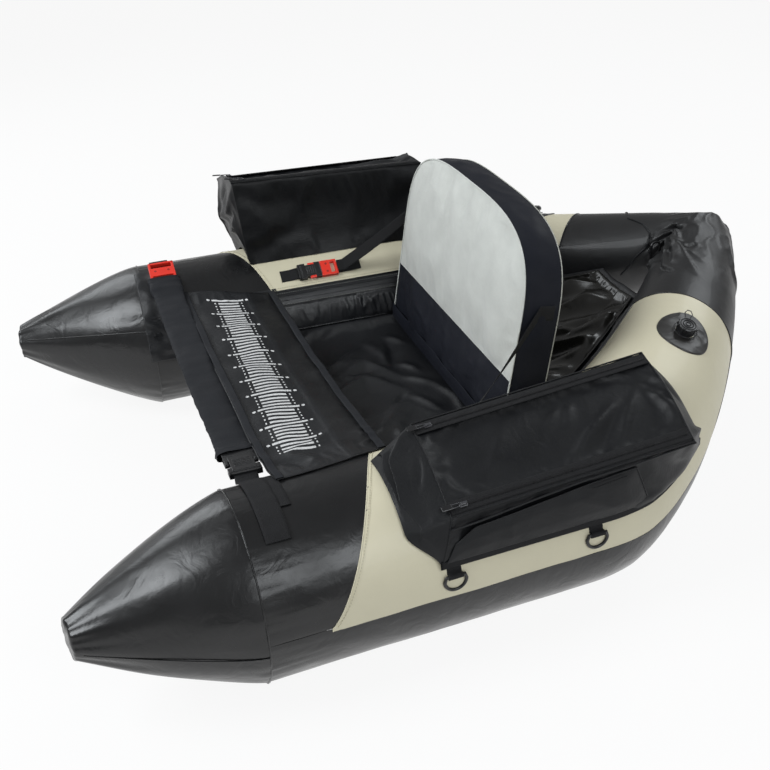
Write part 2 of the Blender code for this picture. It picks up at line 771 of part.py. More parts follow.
def build_pan():
    """The seat pan and bay floor, one padded sheet slung between the pontoons."""
    steps = [2 * k / PAN_COLUMNS - 1 for k in range(PAN_COLUMNS + 1)]
    top = [[pan_point(s, a, 0.0) for a in steps] for s in pan_shares()]
    bottom = [[pan_point(s, a, -PAN_THICKNESS) for a in steps] for s in pan_shares()]
    loft_shell("seat_pan", top, bottom, BLACK_NYLON)


def build_liner():
    """The glossy sheet that lies crumpled on the bay floor, in a few standing folds."""
    shares = [s for s in pan_shares() if s >= LINER_START_SHARE]
    shares[-1] = mix(shares[-2], shares[-1], 0.8)
    steps = [2 * k / LINER_COLUMNS - 1 for k in range(LINER_COLUMNS + 1)]

    def rows(extra):
        made = []
        for i, share in enumerate(shares):
            row = []
            for a in steps:
                wave = 0.5 - 0.5 * math.cos((a + 1) * math.pi * LINER_FOLDS + i)
                lift = LAY_GAP + LINER_FOLD_HEIGHT * wave + extra
                row.append(pan_point(share, a * LINER_WIDTH_SHARE, lift))
            made.append(row)
        return made

    loft_shell("bay_liner", rows(LINER_THICKNESS), rows(0.0), LINER_FILM)


def back_frame():
    """The backrest's frame at its hinge: X across, Y to the rear, Z up its slope."""
    share = tube_share(BACK_BASE_Y)
    corner = BACK_HALF_WIDTH / pan_point(share, 1.0, 0.0).x
    base = pan_point(share, corner, LAY_GAP)
    turn = Matrix.Rotation(-math.radians(BACK_RECLINE), 4, "X")
    return Matrix.Translation((0.0, base.y, base.z)) @ turn


def back_hinge():
    """A point of the line that the backrest folds about: its front panel's hem, sewn to the pan."""
    return back_frame() @ Vector((0.0, -(BACK_CROWN + BACK_CLOTH + LAY_GAP), 0.0))


def back_outline(depth, inset=0.0, low=0.0):
    """The backrest's outline at a depth: level foot, straight sides, a crowned top with round shoulders."""
    slope = math.tan(math.radians(BACK_RECLINE)) + BACK_FOOT_LIFT / BACK_DEPTH
    foot = max(low, depth * slope) + inset
    half, top = BACK_HALF_WIDTH - inset, BACK_HEIGHT - inset
    points = [Vector((-half, depth, foot)), Vector((half, depth, foot))]
    count = 14
    for k in range(count + 1):
        turn = math.pi * k / count
        power = 2 / BACK_TOP_POWER
        x = half * math.copysign(abs(math.cos(turn)) ** power, math.cos(turn))
        z = BACK_SHOULDER + (top - BACK_SHOULDER) * abs(math.sin(turn)) ** power
        points.append(Vector((x, depth, z)))
    return points


def crowned_panel(name, outline, finish, frame):
    """A cloth panel that swells forward from its outline."""
    middle = sum(outline, Vector()) / len(outline)

    def rows(back):
        made = []
        for ring, crown in zip(BACK_RING_SHARES, BACK_CROWN_SHARES):
            push = Vector((0.0, -crown * BACK_CROWN - LAY_GAP - back, 0.0))
            made.append([frame @ (middle.lerp(p, ring) + push) for p in outline])
        return made

    return loft_shell(name, rows(BACK_CLOTH), rows(0.0), finish, wrap=True, caps=(False, True))


def build_backrest():
    """The backrest: gusset and rear cloth, two front panels and the foam inside."""
    frame = back_frame()
    depths = (0.0, BACK_DEPTH - BACK_EDGE_ROUND, BACK_DEPTH)
    insets = (0.0, 0.0, BACK_EDGE_ROUND)
    outer = [[frame @ p for p in back_outline(d, i)] for d, i in zip(depths, insets)]
    depths = (0.0, BACK_DEPTH - BACK_EDGE_ROUND - BACK_CLOTH, BACK_DEPTH - BACK_CLOTH)
    inner = [[frame @ p for p in back_outline(d, i + BACK_CLOTH)] for d, i in zip(depths, insets)]
    loft_shell("backrest_cover", outer, inner, BLACK_NYLON, wrap=True, caps=(False, True))
    half = SEAM_GAP / 2
    upper = back_outline(0.0, 0.0, BACK_BAND + half)
    crowned_panel("backrest_front_panel", upper, GREY_CLOTH, frame)
    width = BACK_HALF_WIDTH
    lower = [(-width, 0.0), (width, 0.0), (width, BACK_BAND - half), (-width, BACK_BAND - half)]
    steps = 6
    ring = []
    for (x0, z0), (x1, z1) in zip(lower, [*lower[1:], lower[0]]):
        count = steps if abs(x1 - x0) > abs(z1 - z0) else 2
        ring += [Vector((mix(x0, x1, k / count), 0.0, mix(z0, z1, k / count))) for k in range(count)]
    crowned_panel("backrest_lower_panel", ring, BLACK_NYLON, frame)
    foam_inset = BACK_CLOTH + LAY_GAP
    back = BACK_DEPTH - BACK_CLOTH - LAY_GAP
    depths = (LAY_GAP, back - BACK_EDGE_ROUND, back)
    insets = (foam_inset, foam_inset, foam_inset + BACK_EDGE_ROUND)
    rings = [[frame @ p for p in back_outline(d, i)] for d, i in zip(depths, insets)]
    loft_solid("backrest_foam", rings, FOAM)
    for name in ("backrest_cover", "backrest_front_panel", "backrest_lower_panel", "backrest_foam"):
        put_origin(bpy.data.objects[name], back_hinge())


def surface_band(name, y, angles, width, lift, thickness, side, finish):
    """A flat webbing that lies round the tube between two angles."""
    low, high = sorted((angles[0], angles[1]))
    stations = [low, *[a for a in DECK_ANGLES if low + 1 < a < high - 1], high]
    near, far = tube_share(y - width / 2), tube_share(y + width / 2)
    rings = []
    for a in stations:
        lifts = (lift, lift, lift + thickness, lift + thickness)
        rings.append([hull_point(s, a, h, side) for s, h in zip((near, far, far, near), lifts)])
    return loft_solid(name, rings, finish)


def buckle_socket(name, width, scale, frame, finish):
    """The open-ended body of a side-release buckle, with side windows and a webbing bar."""
    grow = Matrix.Scale(scale, 4)
    half = width / 2 / scale
    low, high = (-BUCKLE_LENGTH, -half, 0.0), (0.0, half, BUCKLE_HEIGHT)
    body = add_object(name, box_mesh(name, low, high, grow), finish)
    body.matrix_world = frame
    wall, play = BUCKLE_WALL, BUCKLE_PLAY
    slot_start = BUCKLE_BAR - BUCKLE_LENGTH
    slot_end = slot_start + BUCKLE_SLOT
    cavity = ((slot_end + wall, wall - half, wall), (CUT_OVERRUN, half - wall, BUCKLE_HEIGHT - wall))
    cut(body, box_mesh(name + "_cavity", *cavity, frame @ grow))
    window_low = (slot_end + 2 * wall, -half - CUT_OVERRUN, wall + play)
    window_high = (-BUCKLE_LENGTH * BUCKLE_MOUTH_SHARE, half + CUT_OVERRUN, BUCKLE_HEIGHT - wall - play)
    cut(body, box_mesh(name + "_windows", window_low, window_high, frame @ grow))
    slot_low = (slot_start, play + wall - half, -CUT_OVERRUN)
    slot_high = (slot_end, half - wall - play, BUCKLE_HEIGHT + CUT_OVERRUN)
    cut(body, box_mesh(name + "_slot", slot_low, slot_high, frame @ grow))
    return body


def buckle_tongue(name, width, scale, frame, finish):
    """The plug of a side-release buckle: a barred base with two sprung prongs and a guide between."""
    grow = Matrix.Scale(scale, 4)
    wall, play = BUCKLE_WALL, BUCKLE_PLAY
    low, high = wall + play, BUCKLE_HEIGHT - wall - play
    half = width / 2 / scale
    base = ((play, -half, 0.0), (BUCKLE_TONGUE_BASE, half, BUCKLE_HEIGHT))
    tongue = add_object(name, box_mesh(name, *base, grow), finish)
    tongue.matrix_world = frame
    reach = half - wall - play
    for sign in (-1, 1):
        sides = sorted((sign * reach, sign * (reach - BUCKLE_PRONG)))
        prong = ((-BUCKLE_PRONG_LENGTH, sides[0], low), (3 * play, sides[1], high))
        join(tongue, box_mesh(f"{name}_prong_{sign}", *prong, frame @ grow))
    guide = ((-BUCKLE_PRONG_LENGTH, -BUCKLE_PRONG / 2, low), (3 * play, BUCKLE_PRONG / 2, high))
    join(tongue, box_mesh(name + "_guide", *guide, frame @ grow))
    slot_start = BUCKLE_TONGUE_BASE - BUCKLE_BAR - BUCKLE_SLOT
    slot_low = (slot_start, wall - half, -CUT_OVERRUN)
    slot_high = (slot_start + BUCKLE_SLOT, half - wall, BUCKLE_HEIGHT + CUT_OVERRUN)
    cut(tongue, box_mesh(name + "_slot", slot_low, slot_high, frame @ grow))
    return tongue


def lying_frame(y, angle, side, way, lift):
    """A frame on the surface whose X runs the given way: 'stern' along the tube, or 'over' round it."""
    frame = hull_frame(tube_share(y), angle, lift, side)
    along, outward, place = frame.col[1].to_3d(), frame.col[2].to_3d(), frame.translation
    forward = along
    if way == "over":
        share = tube_share(y)
        around = hull_point(share, angle - 1, 0.0, side) - hull_point(share, angle + 1, 0.0, side)
        forward = (around - along * around.dot(along)).normalized()
    turn = Matrix((forward, outward.cross(forward), outward)).transposed().to_4x4()
    return Matrix.Translation(place) @ turn


def build_backrest_strap(side):
    """A strap from the deck's inner seam to the backrest, with its tab, buckle, tongue and tail."""
    name = SIDE_NAMES[side]
    frame = lying_frame(STRAP_BUCKLE_Y, STRAP_ANGLE, side, "stern", BUCKLE_SEAT)
    buckle_socket(name + "_strap_buckle", STRAP_BUCKLE_WIDTH, 1.0, frame, BLACK_PLASTIC)
    buckle_tongue(name + "_strap_tongue", STRAP_BUCKLE_WIDTH, 1.0, frame, RED_PLASTIC)
    mid = (BUCKLE_HEIGHT - STRAP_THICKNESS) / 2
    half = STRAP_WIDTH / 2
    foot_end = STRAP_TAB_Y - STRAP_BUCKLE_Y
    laid = LAY_GAP - BUCKLE_SEAT
    rings = []
    for x, z in ((foot_end - STRAP_WIDTH, laid), (foot_end, laid), (-BUCKLE_LENGTH - LAY_GAP, mid)):
        upper = z + STRAP_THICKNESS
        corners = ((x, -half, z), (x, half, z), (x, half, upper), (x, -half, upper))
        rings.append([frame @ Vector(c) for c in corners])
    loft_solid(name + "_strap_tab", rings, WEBBING)
    start = frame @ Vector((BUCKLE_TONGUE_BASE + LAY_GAP, 0.0, BUCKLE_HEIGHT - STRAP_THICKNESS))
    tail_start = BUCKLE_TONGUE_BASE + LAY_GAP
    tail = ((tail_start, -half, 0.0), (tail_start + STRAP_TAIL, half, STRAP_THICKNESS))
    add_object(name + "_strap_tail", box_mesh(name + "_strap_tail", *tail, frame), WEBBING)
    build_strap_run(name, side, frame, start)


def build_strap_run(name, side, frame, start):
    """The strap itself, from its tongue up to the backrest's side, where its end lies flat."""
    seat = back_frame()
    reach = side * (BACK_HALF_WIDTH + LAY_GAP + STRAP_THICKNESS)
    top = seat @ Vector((reach, STRAP_SEWN_START, STRAP_TOP_HEIGHT))
    end = seat @ Vector((reach, STRAP_SEWN_END, STRAP_TOP_HEIGHT))
    across_way, outward = frame.col[1].to_3d(), frame.col[2].to_3d()
    inward = seat.col[0].to_3d() * -side
    lead = start + frame.col[0].to_3d() * STRAP_LEAD
    tall = seat.col[2].to_3d()
    if tall.dot(across_way) < 0:
        tall = -tall
    half = STRAP_WIDTH / 2
    knots = [(start, across_way, outward)]
    for k in range(STRAP_STEPS + 1):
        u = k / STRAP_STEPS
        turned_way = across_way.lerp(tall, u).normalized()
        knots.append((lead.lerp(top, u), turned_way, outward.lerp(inward, u).normalized()))
    knots.append((end, tall, inward))
    rings = []
    for place, wide, thick in knots:
        low, high = place - wide * half, place + wide * half
        rings.append([low, high, high + thick * STRAP_THICKNESS, low + thick * STRAP_THICKNESS])
    loft_solid(name + "_backrest_strap", rings, WEBBING)


def left_cross_frame():
    """The left buckle hangs free between the pontoons, its mouth towards the middle."""
    lean = math.radians(LEFT_BUCKLE_LEAN)
    height = tube_height(0.0) + TUBE_RADIUS - LEFT_BUCKLE_DROP
    edge = tube_height(0.0) - height
    shoulder = hull_point(tube_share(CROSS_Y), 180 + math.degrees(math.asin(edge / TUBE_RADIUS)))
    x = shoulder.x - BUCKLE_LENGTH * CROSS_BUCKLE_SCALE - LEFT_BUCKLE_GAP
    forward = Vector((-math.cos(lean), 0.0, -math.sin(lean)))
    wide = Vector((0.0, -1.0, 0.0))
    turn = Matrix((forward, wide, forward.cross(wide))).transposed().to_4x4()
    return Matrix.Translation((x, CROSS_Y, height)) @ turn


def build_cross_strap():
    """The wide sleeve across the front, its two buckles and the webbing over each pontoon."""
    right = lying_frame(CROSS_Y, RIGHT_BUCKLE_ANGLE, RIGHT_SIDE, "over", BUCKLE_SEAT)
    left = left_cross_frame()
    size = (CROSS_BUCKLE_WIDTH, CROSS_BUCKLE_SCALE)
    buckle_socket("right_cross_socket", *size, right, BLACK_PLASTIC)
    buckle_tongue("right_cross_tongue", *size, right, RED_PLASTIC)
    buckle_socket("left_cross_socket", *size, left, BLACK_PLASTIC)
    buckle_tongue("left_cross_tongue", *size, left, BLACK_PLASTIC)
    mid = BUCKLE_HEIGHT * CROSS_BUCKLE_SCALE / 2
    start = right @ Vector((-BUCKLE_LENGTH * CROSS_BUCKLE_SCALE - LAY_GAP, 0.0, mid))
    end = left @ Vector((BUCKLE_TONGUE_BASE * CROSS_BUCKLE_SCALE + LAY_GAP, 0.0, mid))
    handle = (end - start).length * CROSS_HANDLE_SHARE
    second, third = start - right.col[0].to_3d() * handle, end + left.col[0].to_3d() * handle
    wide_first, wide_last = right.col[1].to_3d(), left.col[1].to_3d()
    if wide_first.dot(wide_last) < 0:
        wide_last = -wide_last
    rings = []
    for k in range(CROSS_COLUMNS + 1):
        u = k / CROSS_COLUMNS
        v = 1 - u
        place = start * v**3 + second * (3 * v * v * u) + third * (3 * v * u * u) + end * u**3
        way = (second - start) * v * v + (third - second) * (2 * v * u) + (end - third) * u * u
        wide = wide_first.lerp(wide_last, u).normalized() * (CROSS_WIDTH / 2)
        thick = way.cross(wide).normalized() * (CROSS_THICKNESS / 2)
        below, above = place - thick, place + thick
        rings.append([below - wide, below + wide, above + wide, above - wide])
    loft_solid("cross_strap", rings, BLACK_NYLON)
    build_cross_webbing()


def build_cross_webbing():
    """The webbing that holds the cross strap, laid over each pontoon's shoulder."""
    reach = math.degrees((BUCKLE_TONGUE_BASE * CROSS_BUCKLE_SCALE + 2 * LAY_GAP) / TUBE_RADIUS)
    spans = (
        (RIGHT_SIDE, RIGHT_WEB_END_ANGLE, RIGHT_BUCKLE_ANGLE - reach),
        (LEFT_SIDE, LEFT_WEB_END_ANGLE, LEFT_WEB_START_ANGLE),
    )
    for side, end, start in spans:
        name = SIDE_NAMES[side] + "_cross_webbing"
        sizes = (CROSS_WEB_WIDTH, LAY_GAP, CROSS_WEB_THICKNESS)
        surface_band(name, CROSS_Y, (end, start), *sizes, side, WEBBING)


def apron_edge(y, side):
    """The apron's edge over the inner seam."""
    return hull_point(tube_share(y), WALL_ANGLES[0], APRON_EDGE_LIFT, side)


def build_apron():
    """The apron: a sheet across the lap that sags between the two inner seams."""

    def rows(shift):
        made = []
        for i in range(APRON_ROWS + 1):
            y = mix(APRON_FRONT_Y, APRON_REAR_Y, i / APRON_ROWS)
            low, high = apron_edge(y, RIGHT_SIDE), apron_edge(y, LEFT_SIDE)
            row = []
            for k in range(APRON_COLUMNS + 1):
                u = k / APRON_COLUMNS
                place = low.lerp(high, u)
                place.z += shift - APRON_SAG * 4 * u * (1 - u)
                row.append(place)
            made.append(row)
        return made

    apron = loft_shell("apron", rows(APRON_THICKNESS / 2), rows(-APRON_THICKNESS / 2), BLACK_NYLON)
    put_origin(apron, (apron_edge(APRON_FRONT_Y, RIGHT_SIDE) + apron_edge(APRON_REAR_Y, RIGHT_SIDE)) / 2)


def pocket_tops(side):
    """The ends of the pocket's two top edges: inner front, inner rear, outer front, outer rear."""
    sizes = LEFT_POCKET if side == LEFT_SIDE else RIGHT_POCKET
    turns = [math.radians(angle) for angle in (POCKET_INNER_ANGLE, POCKET_OUTER_ANGLE)]
    inner, outer = [side * (BEND_X + TUBE_RADIUS * math.cos(turn)) for turn in turns]
    top = tube_height(0.0) + TUBE_RADIUS
    front, rear = sizes["front_y"], sizes["rear_y"]
    places = ((inner, front), (inner, rear), (outer, front), (outer, rear))
    return [Vector((x, y, top + rise)) for (x, y), rise in zip(places, sizes["rises"])]


def hull_cutter(side):
    """The outside of one pontoon, grown by the pocket's clearance."""
    name = SIDE_NAMES[side] + "_pontoon_space"
    shares = [0.0, *BEND_SHARES, STERN_SEAM_SHARE, *STERN_SHARES]
    rings = [[hull_point(s, a, POCKET_CLEARANCE, side) for a in ring_angles()] for s in shares]
    return loft_solid(name, rings, None, CUTTERS)


def build_pocket(side):
    """A zipped armrest pocket: a soft box that sits on the deck and hangs down its outer side."""
    name = SIDE_NAMES[side] + "_pocket"
    sizes = LEFT_POCKET if side == LEFT_SIDE else RIGHT_POCKET
    inner_front, inner_rear, outer_front, outer_rear = pocket_tops(side)
    first, last = tube_share(sizes["foot_y"]), sizes["end_share"]
    rings = []
    for k in range(POCKET_STEPS + 1):
        u = k / POCKET_STEPS
        share = mix(first, last, u)
        top_in, top_out = inner_front.lerp(inner_rear, u), outer_front.lerp(outer_rear, u)
        ridge = (top_in + top_out) / 2 + Vector((0.0, 0.0, POCKET_CROWN))
        hem = hull_point(share, POCKET_HEM_ANGLE, POCKET_HEM_LIFT, side)
        belly = hull_point(share, POCKET_HEM_ANGLE, -POCKET_ROOT, side)
        heel = hull_point(share, sizes["heel_angle"], -POCKET_ROOT, side)
        rings.append([top_in, ridge, top_out, hem, belly, heel])
    pocket = loft_solid(name, rings, BLACK_NYLON)
    combine(pocket, hull_cutter(side), "DIFFERENCE")
    return pocket


def build_zip(side, edge):
    """A zip's slider with its pull, at the front end of one of the pocket's top edges."""
    inner_front, inner_rear, outer_front, outer_rear = pocket_tops(side)
    crown = Vector((0.0, 0.0, POCKET_CROWN))
    ridge_front, ridge_rear = (inner_front + outer_front) / 2 + crown, (inner_rear + outer_rear) / 2 + crown
    edge_front, edge_rear = (inner_front, inner_rear) if edge == "inner" else (outer_front, outer_rear)
    share = SLIDER_EDGE_INSET / (ridge_front - edge_front).length
    first, last = edge_front.lerp(ridge_front, share), edge_rear.lerp(ridge_rear, share)
    along = (last - first).normalized()
    inward = ridge_front - edge_front
    outward = along.cross(inward).normalized()
    if outward.z < 0:
        outward = -outward
    place = first + along * SLIDER_START + outward * SLIDER_GAP
    turn = Matrix((along, outward.cross(along), outward)).transposed().to_4x4()
    frame = Matrix.Translation(place) @ turn
    name = f"{SIDE_NAMES[side]}_{edge}_slider"
    half = SLIDER_WIDTH / 2
    low, high = (-SLIDER_LENGTH / 2, -half, 0.0), (SLIDER_LENGTH / 2, half, SLIDER_HEIGHT)
    slider = add_object(name, box_mesh(name, low, high), BLACK_PLASTIC)
    slider.matrix_world = frame
    top = SLIDER_HEIGHT - PULL_THICKNESS
    pull = ((-PULL_LENGTH, -PULL_WIDTH / 2, top), (0.0, PULL_WIDTH / 2, SLIDER_HEIGHT + PULL_THICKNESS / 2))
    join(slider, box_mesh(name + "_pull", *pull, frame))
    return frame


def wire_object(name, points, radius, finish, cyclic, matrix):
    """A bent wire: a curve with a round bevel."""
    data = bpy.data.curves.new(name, "CURVE")
    data.dimensions = "3D"
    data.bevel_depth = radius
    data.bevel_resolution = 1
    data.use_fill_caps = not cyclic
    spline = data.splines.new("POLY")
    spline.points.add(len(points) - 1)
    for target, point in zip(spline.points, points):
        target.co = (*point, 1.0)
    spline.use_cyclic_u = cyclic
    made = bpy.data.objects.new(name, data)
    PARTS.objects.link(made)
    data.materials.append(finish)
    made.matrix_world = matrix
    return made


def ring_pose(side, y):
    """The frame of a D-ring's bar: X outwards, Y along the tube, Z up."""
    share = tube_share(y)
    way = axis_direction(share)
    outward = Vector((side * way.y, -way.x, 0.0))
    stand = TAB_SLEEVE_RADIUS + TAB_LIFT
    place = hull_point(share, RING_ANGLE, stand, side)
    turn = Matrix((outward, UP.cross(outward), UP)).transposed().to_4x4()
    return Matrix.Translation(place) @ turn


def build_ring(side, end, y):
    """A D-ring that hangs in a webbing tab welded to the deck's lower edge."""
    name = f"{SIDE_NAMES[side]}_{end}"
    frame = ring_pose(side, y)
    arc = 8
    points = [(0.0, -RING_HALF_WIDTH, 0.0), (0.0, RING_HALF_WIDTH, 0.0)]
    for k in range(arc + 1):
        turn = math.pi * k / arc
        drop = RING_DROP - RING_HALF_WIDTH
        points.append((0.0, RING_HALF_WIDTH * math.cos(turn), -drop - RING_HALF_WIDTH * math.sin(turn)))
    wire_object(name + "_ring", points, RING_WIRE_RADIUS, BLACK_PLASTIC, True, frame)
    lay = Matrix.Rotation(math.radians(90), 4, "X")
    half = TAB_WIDTH / 2
    sleeve = cylinder_mesh(name + "_tab", TAB_SLEEVE_RADIUS, -half, half, lay, sides=16)
    tab = add_object(name + "_ring_tab", sleeve, WEBBING)
    tab.matrix_world = frame
    wall = TAB_SLEEVE_RADIUS - TAB_BORE_RADIUS
    near, far = (TAB_BORE_RADIUS + wall * share for share in TAB_STRIP_SHARES)
    strip = ((-far, -half * TAB_STRIP_WIDTH_SHARE, 0.0), (-near, half * TAB_STRIP_WIDTH_SHARE, TAB_LENGTH))
    lean = Matrix.Rotation(-math.radians(RING_ANGLE), 4, "Y")
    join(tab, box_mesh(name + "_tab_strip", *strip, frame @ lean))
    bore = cylinder_mesh(
        name + "_tab_bore", TAB_BORE_RADIUS, -half - CUT_OVERRUN, half + CUT_OVERRUN, frame @ lay, sides=16
    )
    cut(tab, bore)


def build_stern_pull():
    """The oval pull of the zip at the stern, hanging in the fold of the inner walls."""
    top = hull_point(1.0, STERN_PULL_ANGLE)
    reach, drop = STERN_PULL_WIDTH / 2, STERN_PULL_LENGTH / 2 - STERN_PULL_WIDTH / 2
    outline = []
    hole = []
    for radius, points in ((reach, outline), (reach - STERN_PULL_BAR, hole)):
        points += [(x, y + drop) for x, y in arc_points(radius, 0.0, math.pi, 8)]
        points += [(x, y - drop) for x, y in arc_points(radius, math.pi, 2 * math.pi, 8)]
    turn = Matrix((Vector((0.0, 1.0, 0.0)), UP, Vector((1.0, 0.0, 0.0)))).transposed().to_4x4()
    place = Vector((0.0, top.y - reach - STERN_PULL_GAP, top.z - drop - reach))
    half = STERN_PULL_THICKNESS / 2
    lay = Matrix.Translation(place) @ turn
    pull = plate("stern_zip_pull", (outline, hole), -half, half, BLACK_PLASTIC, lay)
    put_origin(pull, place + UP * (drop + reach - STERN_PULL_BAR / 2))


def build():
    """Every piece of the float tube."""
    for side in (LEFT_SIDE, RIGHT_SIDE):
        deck = build_covers(side)
        build_nose(side)
        bladder = build_bladder(side)
        build_valve(side, deck, bladder)
    build_stern()
    build_pan()
    build_liner()
    build_backrest()
    build_cross_strap()
    build_apron()
    for side in (LEFT_SIDE, RIGHT_SIDE):
        build_backrest_strap(side)
        build_pocket(side)
        for edge in ("inner", "outer"):
            build_zip(side, edge)
        for end, y in (("front", RING_FRONT_Y), ("rear", RING_REAR_Y)):
            build_ring(side, end, y)
    build_stern_pull()


build()
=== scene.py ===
"""One-person inflatable float tube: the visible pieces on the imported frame.

Metres, +Z up, +Y towards the closed stern, +X to the sitter's left.
"""

import math
from functools import partialmethod

import bmesh
import bpy
from bpy.props import FloatProperty, FloatVectorProperty, IntProperty, PointerProperty
from mathutils import Matrix, Vector, noise


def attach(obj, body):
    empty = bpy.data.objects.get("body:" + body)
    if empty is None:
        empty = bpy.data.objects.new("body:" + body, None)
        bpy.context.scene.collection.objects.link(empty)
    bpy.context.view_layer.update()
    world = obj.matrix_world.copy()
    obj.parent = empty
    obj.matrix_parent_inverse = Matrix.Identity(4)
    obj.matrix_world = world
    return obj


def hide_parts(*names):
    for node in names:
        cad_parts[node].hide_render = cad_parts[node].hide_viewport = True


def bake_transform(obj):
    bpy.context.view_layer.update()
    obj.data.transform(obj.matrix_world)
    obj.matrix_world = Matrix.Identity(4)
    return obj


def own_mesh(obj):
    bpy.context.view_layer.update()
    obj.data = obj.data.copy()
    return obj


bl_info = {
    "name": "Float Tube",
    "version": (1, 0, 0),
    "blender": (4, 5, 0),
    "location": "View3D > Sidebar > Float Tube",
    "description": "Builds the visible pieces of a one-person inflatable float tube",
    "category": "Object",
}

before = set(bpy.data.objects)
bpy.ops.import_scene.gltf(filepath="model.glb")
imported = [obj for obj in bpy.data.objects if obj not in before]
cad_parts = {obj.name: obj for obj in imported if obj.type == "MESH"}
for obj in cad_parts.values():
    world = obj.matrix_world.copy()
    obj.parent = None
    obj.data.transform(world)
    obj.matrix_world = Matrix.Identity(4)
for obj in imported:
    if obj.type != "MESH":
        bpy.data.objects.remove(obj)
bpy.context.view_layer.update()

# The tube's path and section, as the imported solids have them
TUBE_RADIUS = 0.141
NOSE_BASE = Vector((0.429, -0.413))
BEND = Vector((0.410, 0.103))
BEND_LEAD = 0.139
APEX = Vector((0.0, 0.588))
APEX_LEAD = Vector((0.143, -0.091))
APEX_RADIUS = 0.062
APEX_RISE = 0.257
MITRE_REACH = 0.080
TAPER_POWER = 1.24
RISE_POWER = 1.22
STRAIGHT_SHARE = 0.45
TAPER_START = 0.485
RISE_START = 0.50
STERN_SEAM = 0.79
REST_ANGLE = 9.0
REST_COS = math.cos(math.radians(REST_ANGLE))
DECK_EDGE = 138.0
WALL_EDGE = 172.0
NOSE_TIP = Vector((0.470, -0.6563, 0.158))
NOSE_TIP_RADIUS = 0.032
NOSE_POWER = 1.25
DECK_FRONT = (-0.315, -0.157)
DECK_FRONT_POWER = 0.8
STRAIGHT = (BEND - NOSE_BASE).normalized()
CURVE = (BEND, BEND + STRAIGHT * BEND_LEAD, APEX + APEX_LEAD, APEX)

# Seat, backrest, straps, pockets and apron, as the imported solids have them
PAN_FRONT_Y = -0.168
PAN_SAG = 0.008
PAN_HALF = 0.262
PAN_END = 0.865
LINER_HALF = 0.86
LINER_SPAN = (0.60, 0.853)
BACK_BASE_Y = 0.070
BACK_HALF = 0.262
BACK_SHOULDER = 0.190
BACK_HEIGHT = 0.366
BACK_DEPTH = 0.064
BACK_FOOT_LIFT = 0.016
BACK_RECLINE = 10.0
BACK_BAND = 0.112
BACK_CROWN = 0.010
BACK_TOP_POWER = 3.4
BACK_STEPS = 40
LAY_GAP = 0.0004
VALVE_SHARE = 0.722
VALVE_ANGLE = 70.0
PATCH_RADIUS = 0.0462
RING_Y = {"front": -0.140, "rear": 0.085}
RING_ANGLE = 12.0
STRAP_WIDTH = 0.025
STRAP_BUCKLE_Y = -0.060
STRAP_ANGLE = 126.0
STRAP_TOP = 0.235
STRAP_SEWN = (0.028, 0.054)
STRAP_LEAD = 0.012
TONGUE_BASE = 0.034
BUCKLE_LENGTH = 0.046
BUCKLE_HEIGHT = 0.010
CROSS_Y = -0.368
CROSS_SCALE = 1.2
CROSS_HANDLE = 0.12
CROSS_BUCKLE = 0.050
RIGHT_BUCKLE_ANGLE = 108.0
LEFT_BUCKLE_DROP = 0.0373
LEFT_BUCKLE_LEAN = 6.0
LEFT_BUCKLE_GAP = 0.008
APRON_Y = (-0.322, -0.162)
APRON_SAG = 0.014
APRON_REACH = 0.020
POCKET_TOP_ANGLES = (99.0, 16.8)
POCKET_CROWN = 0.010
POCKET_HEM_ANGLE = 18.5
POCKET_HEM_LIFT = 0.006
POCKET_PARTS = (10, 26, 12)
POCKET_ROUND = sum(POCKET_PARTS)
POCKET_EDGES = {"inner": POCKET_PARTS[0], "outer": POCKET_PARTS[0] + POCKET_PARTS[1]}
BAG_SPAN = (0.055, 0.74)
BAG_FOOT = 0.90
ZIP_INSET = 0.014

# The printed scale on the apron
RULER_START = 0.026
RULER_PITCH = 0.0112
RULER_BARS = 53
RULER_BAND = (0.036, 0.096)
RULER_SKEW = 0.030

LEFT, RIGHT = SIDES = (1, -1)
POCKETS = {
    LEFT: ((-0.132, 0.245), (0.0377, 0.0717, -0.0243, 0.0037), -0.200, 0.61, 97.0),
    RIGHT: ((-0.212, 0.180), (0.1657, 0.1437, 0.1237, 0.1077), -0.195, 0.575, 109.0),
}
NAMES = {LEFT: "left", RIGHT: "right"}
UP = Vector((0.0, 0.0, 1.0))
HULL = "hull"
FULL_TURN = 2 * math.pi


def mix(low, high, share):
    return low + (high - low) * share


def clamp(value, low=0.0, high=1.0):
    return min(max(value, low), high)


def smooth(low, high, value):
    """0 below low, 1 above high, and an even S between them."""
    u = clamp((value - low) / (high - low))
    return u * u * (3 - 2 * u)


def span(low, high, count):
    """Evenly spaced values from low to high."""
    return [mix(low, high, k / (count - 1)) for k in range(count)]


def grid(us, vs, place):
    """Rows of points: a row for each u, with a point for each v."""
    return [[place(u, v) for v in vs] for u in us]


def polar(radius, turn):
    return radius * math.cos(turn), radius * math.sin(turn)


def circle(radius, turns, height=0.0):
    return [Vector((*polar(radius, t), height)) for t in turns]


def facing(way, guide):
    """A direction, turned round where it points away from the guide."""
    return -way if way.dot(guide) < 0 else way


def cubic(u, a, b, c, d):
    """A point of a curve from a to d."""
    v = 1 - u
    return a * v**3 + b * (3 * v * v * u) + c * (3 * v * u * u) + d * u**3


def cubic_way(u, a, b, c, d):
    """The way that the curve runs there."""
    v = 1 - u
    return (b - a) * v * v + (c - b) * (2 * v * u) + (d - c) * u * u


def tube_share(y):
    """The share of the path at a place beside the seat."""
    return (y - NOSE_BASE.y) / (BEND.y - NOSE_BASE.y) * STRAIGHT_SHARE


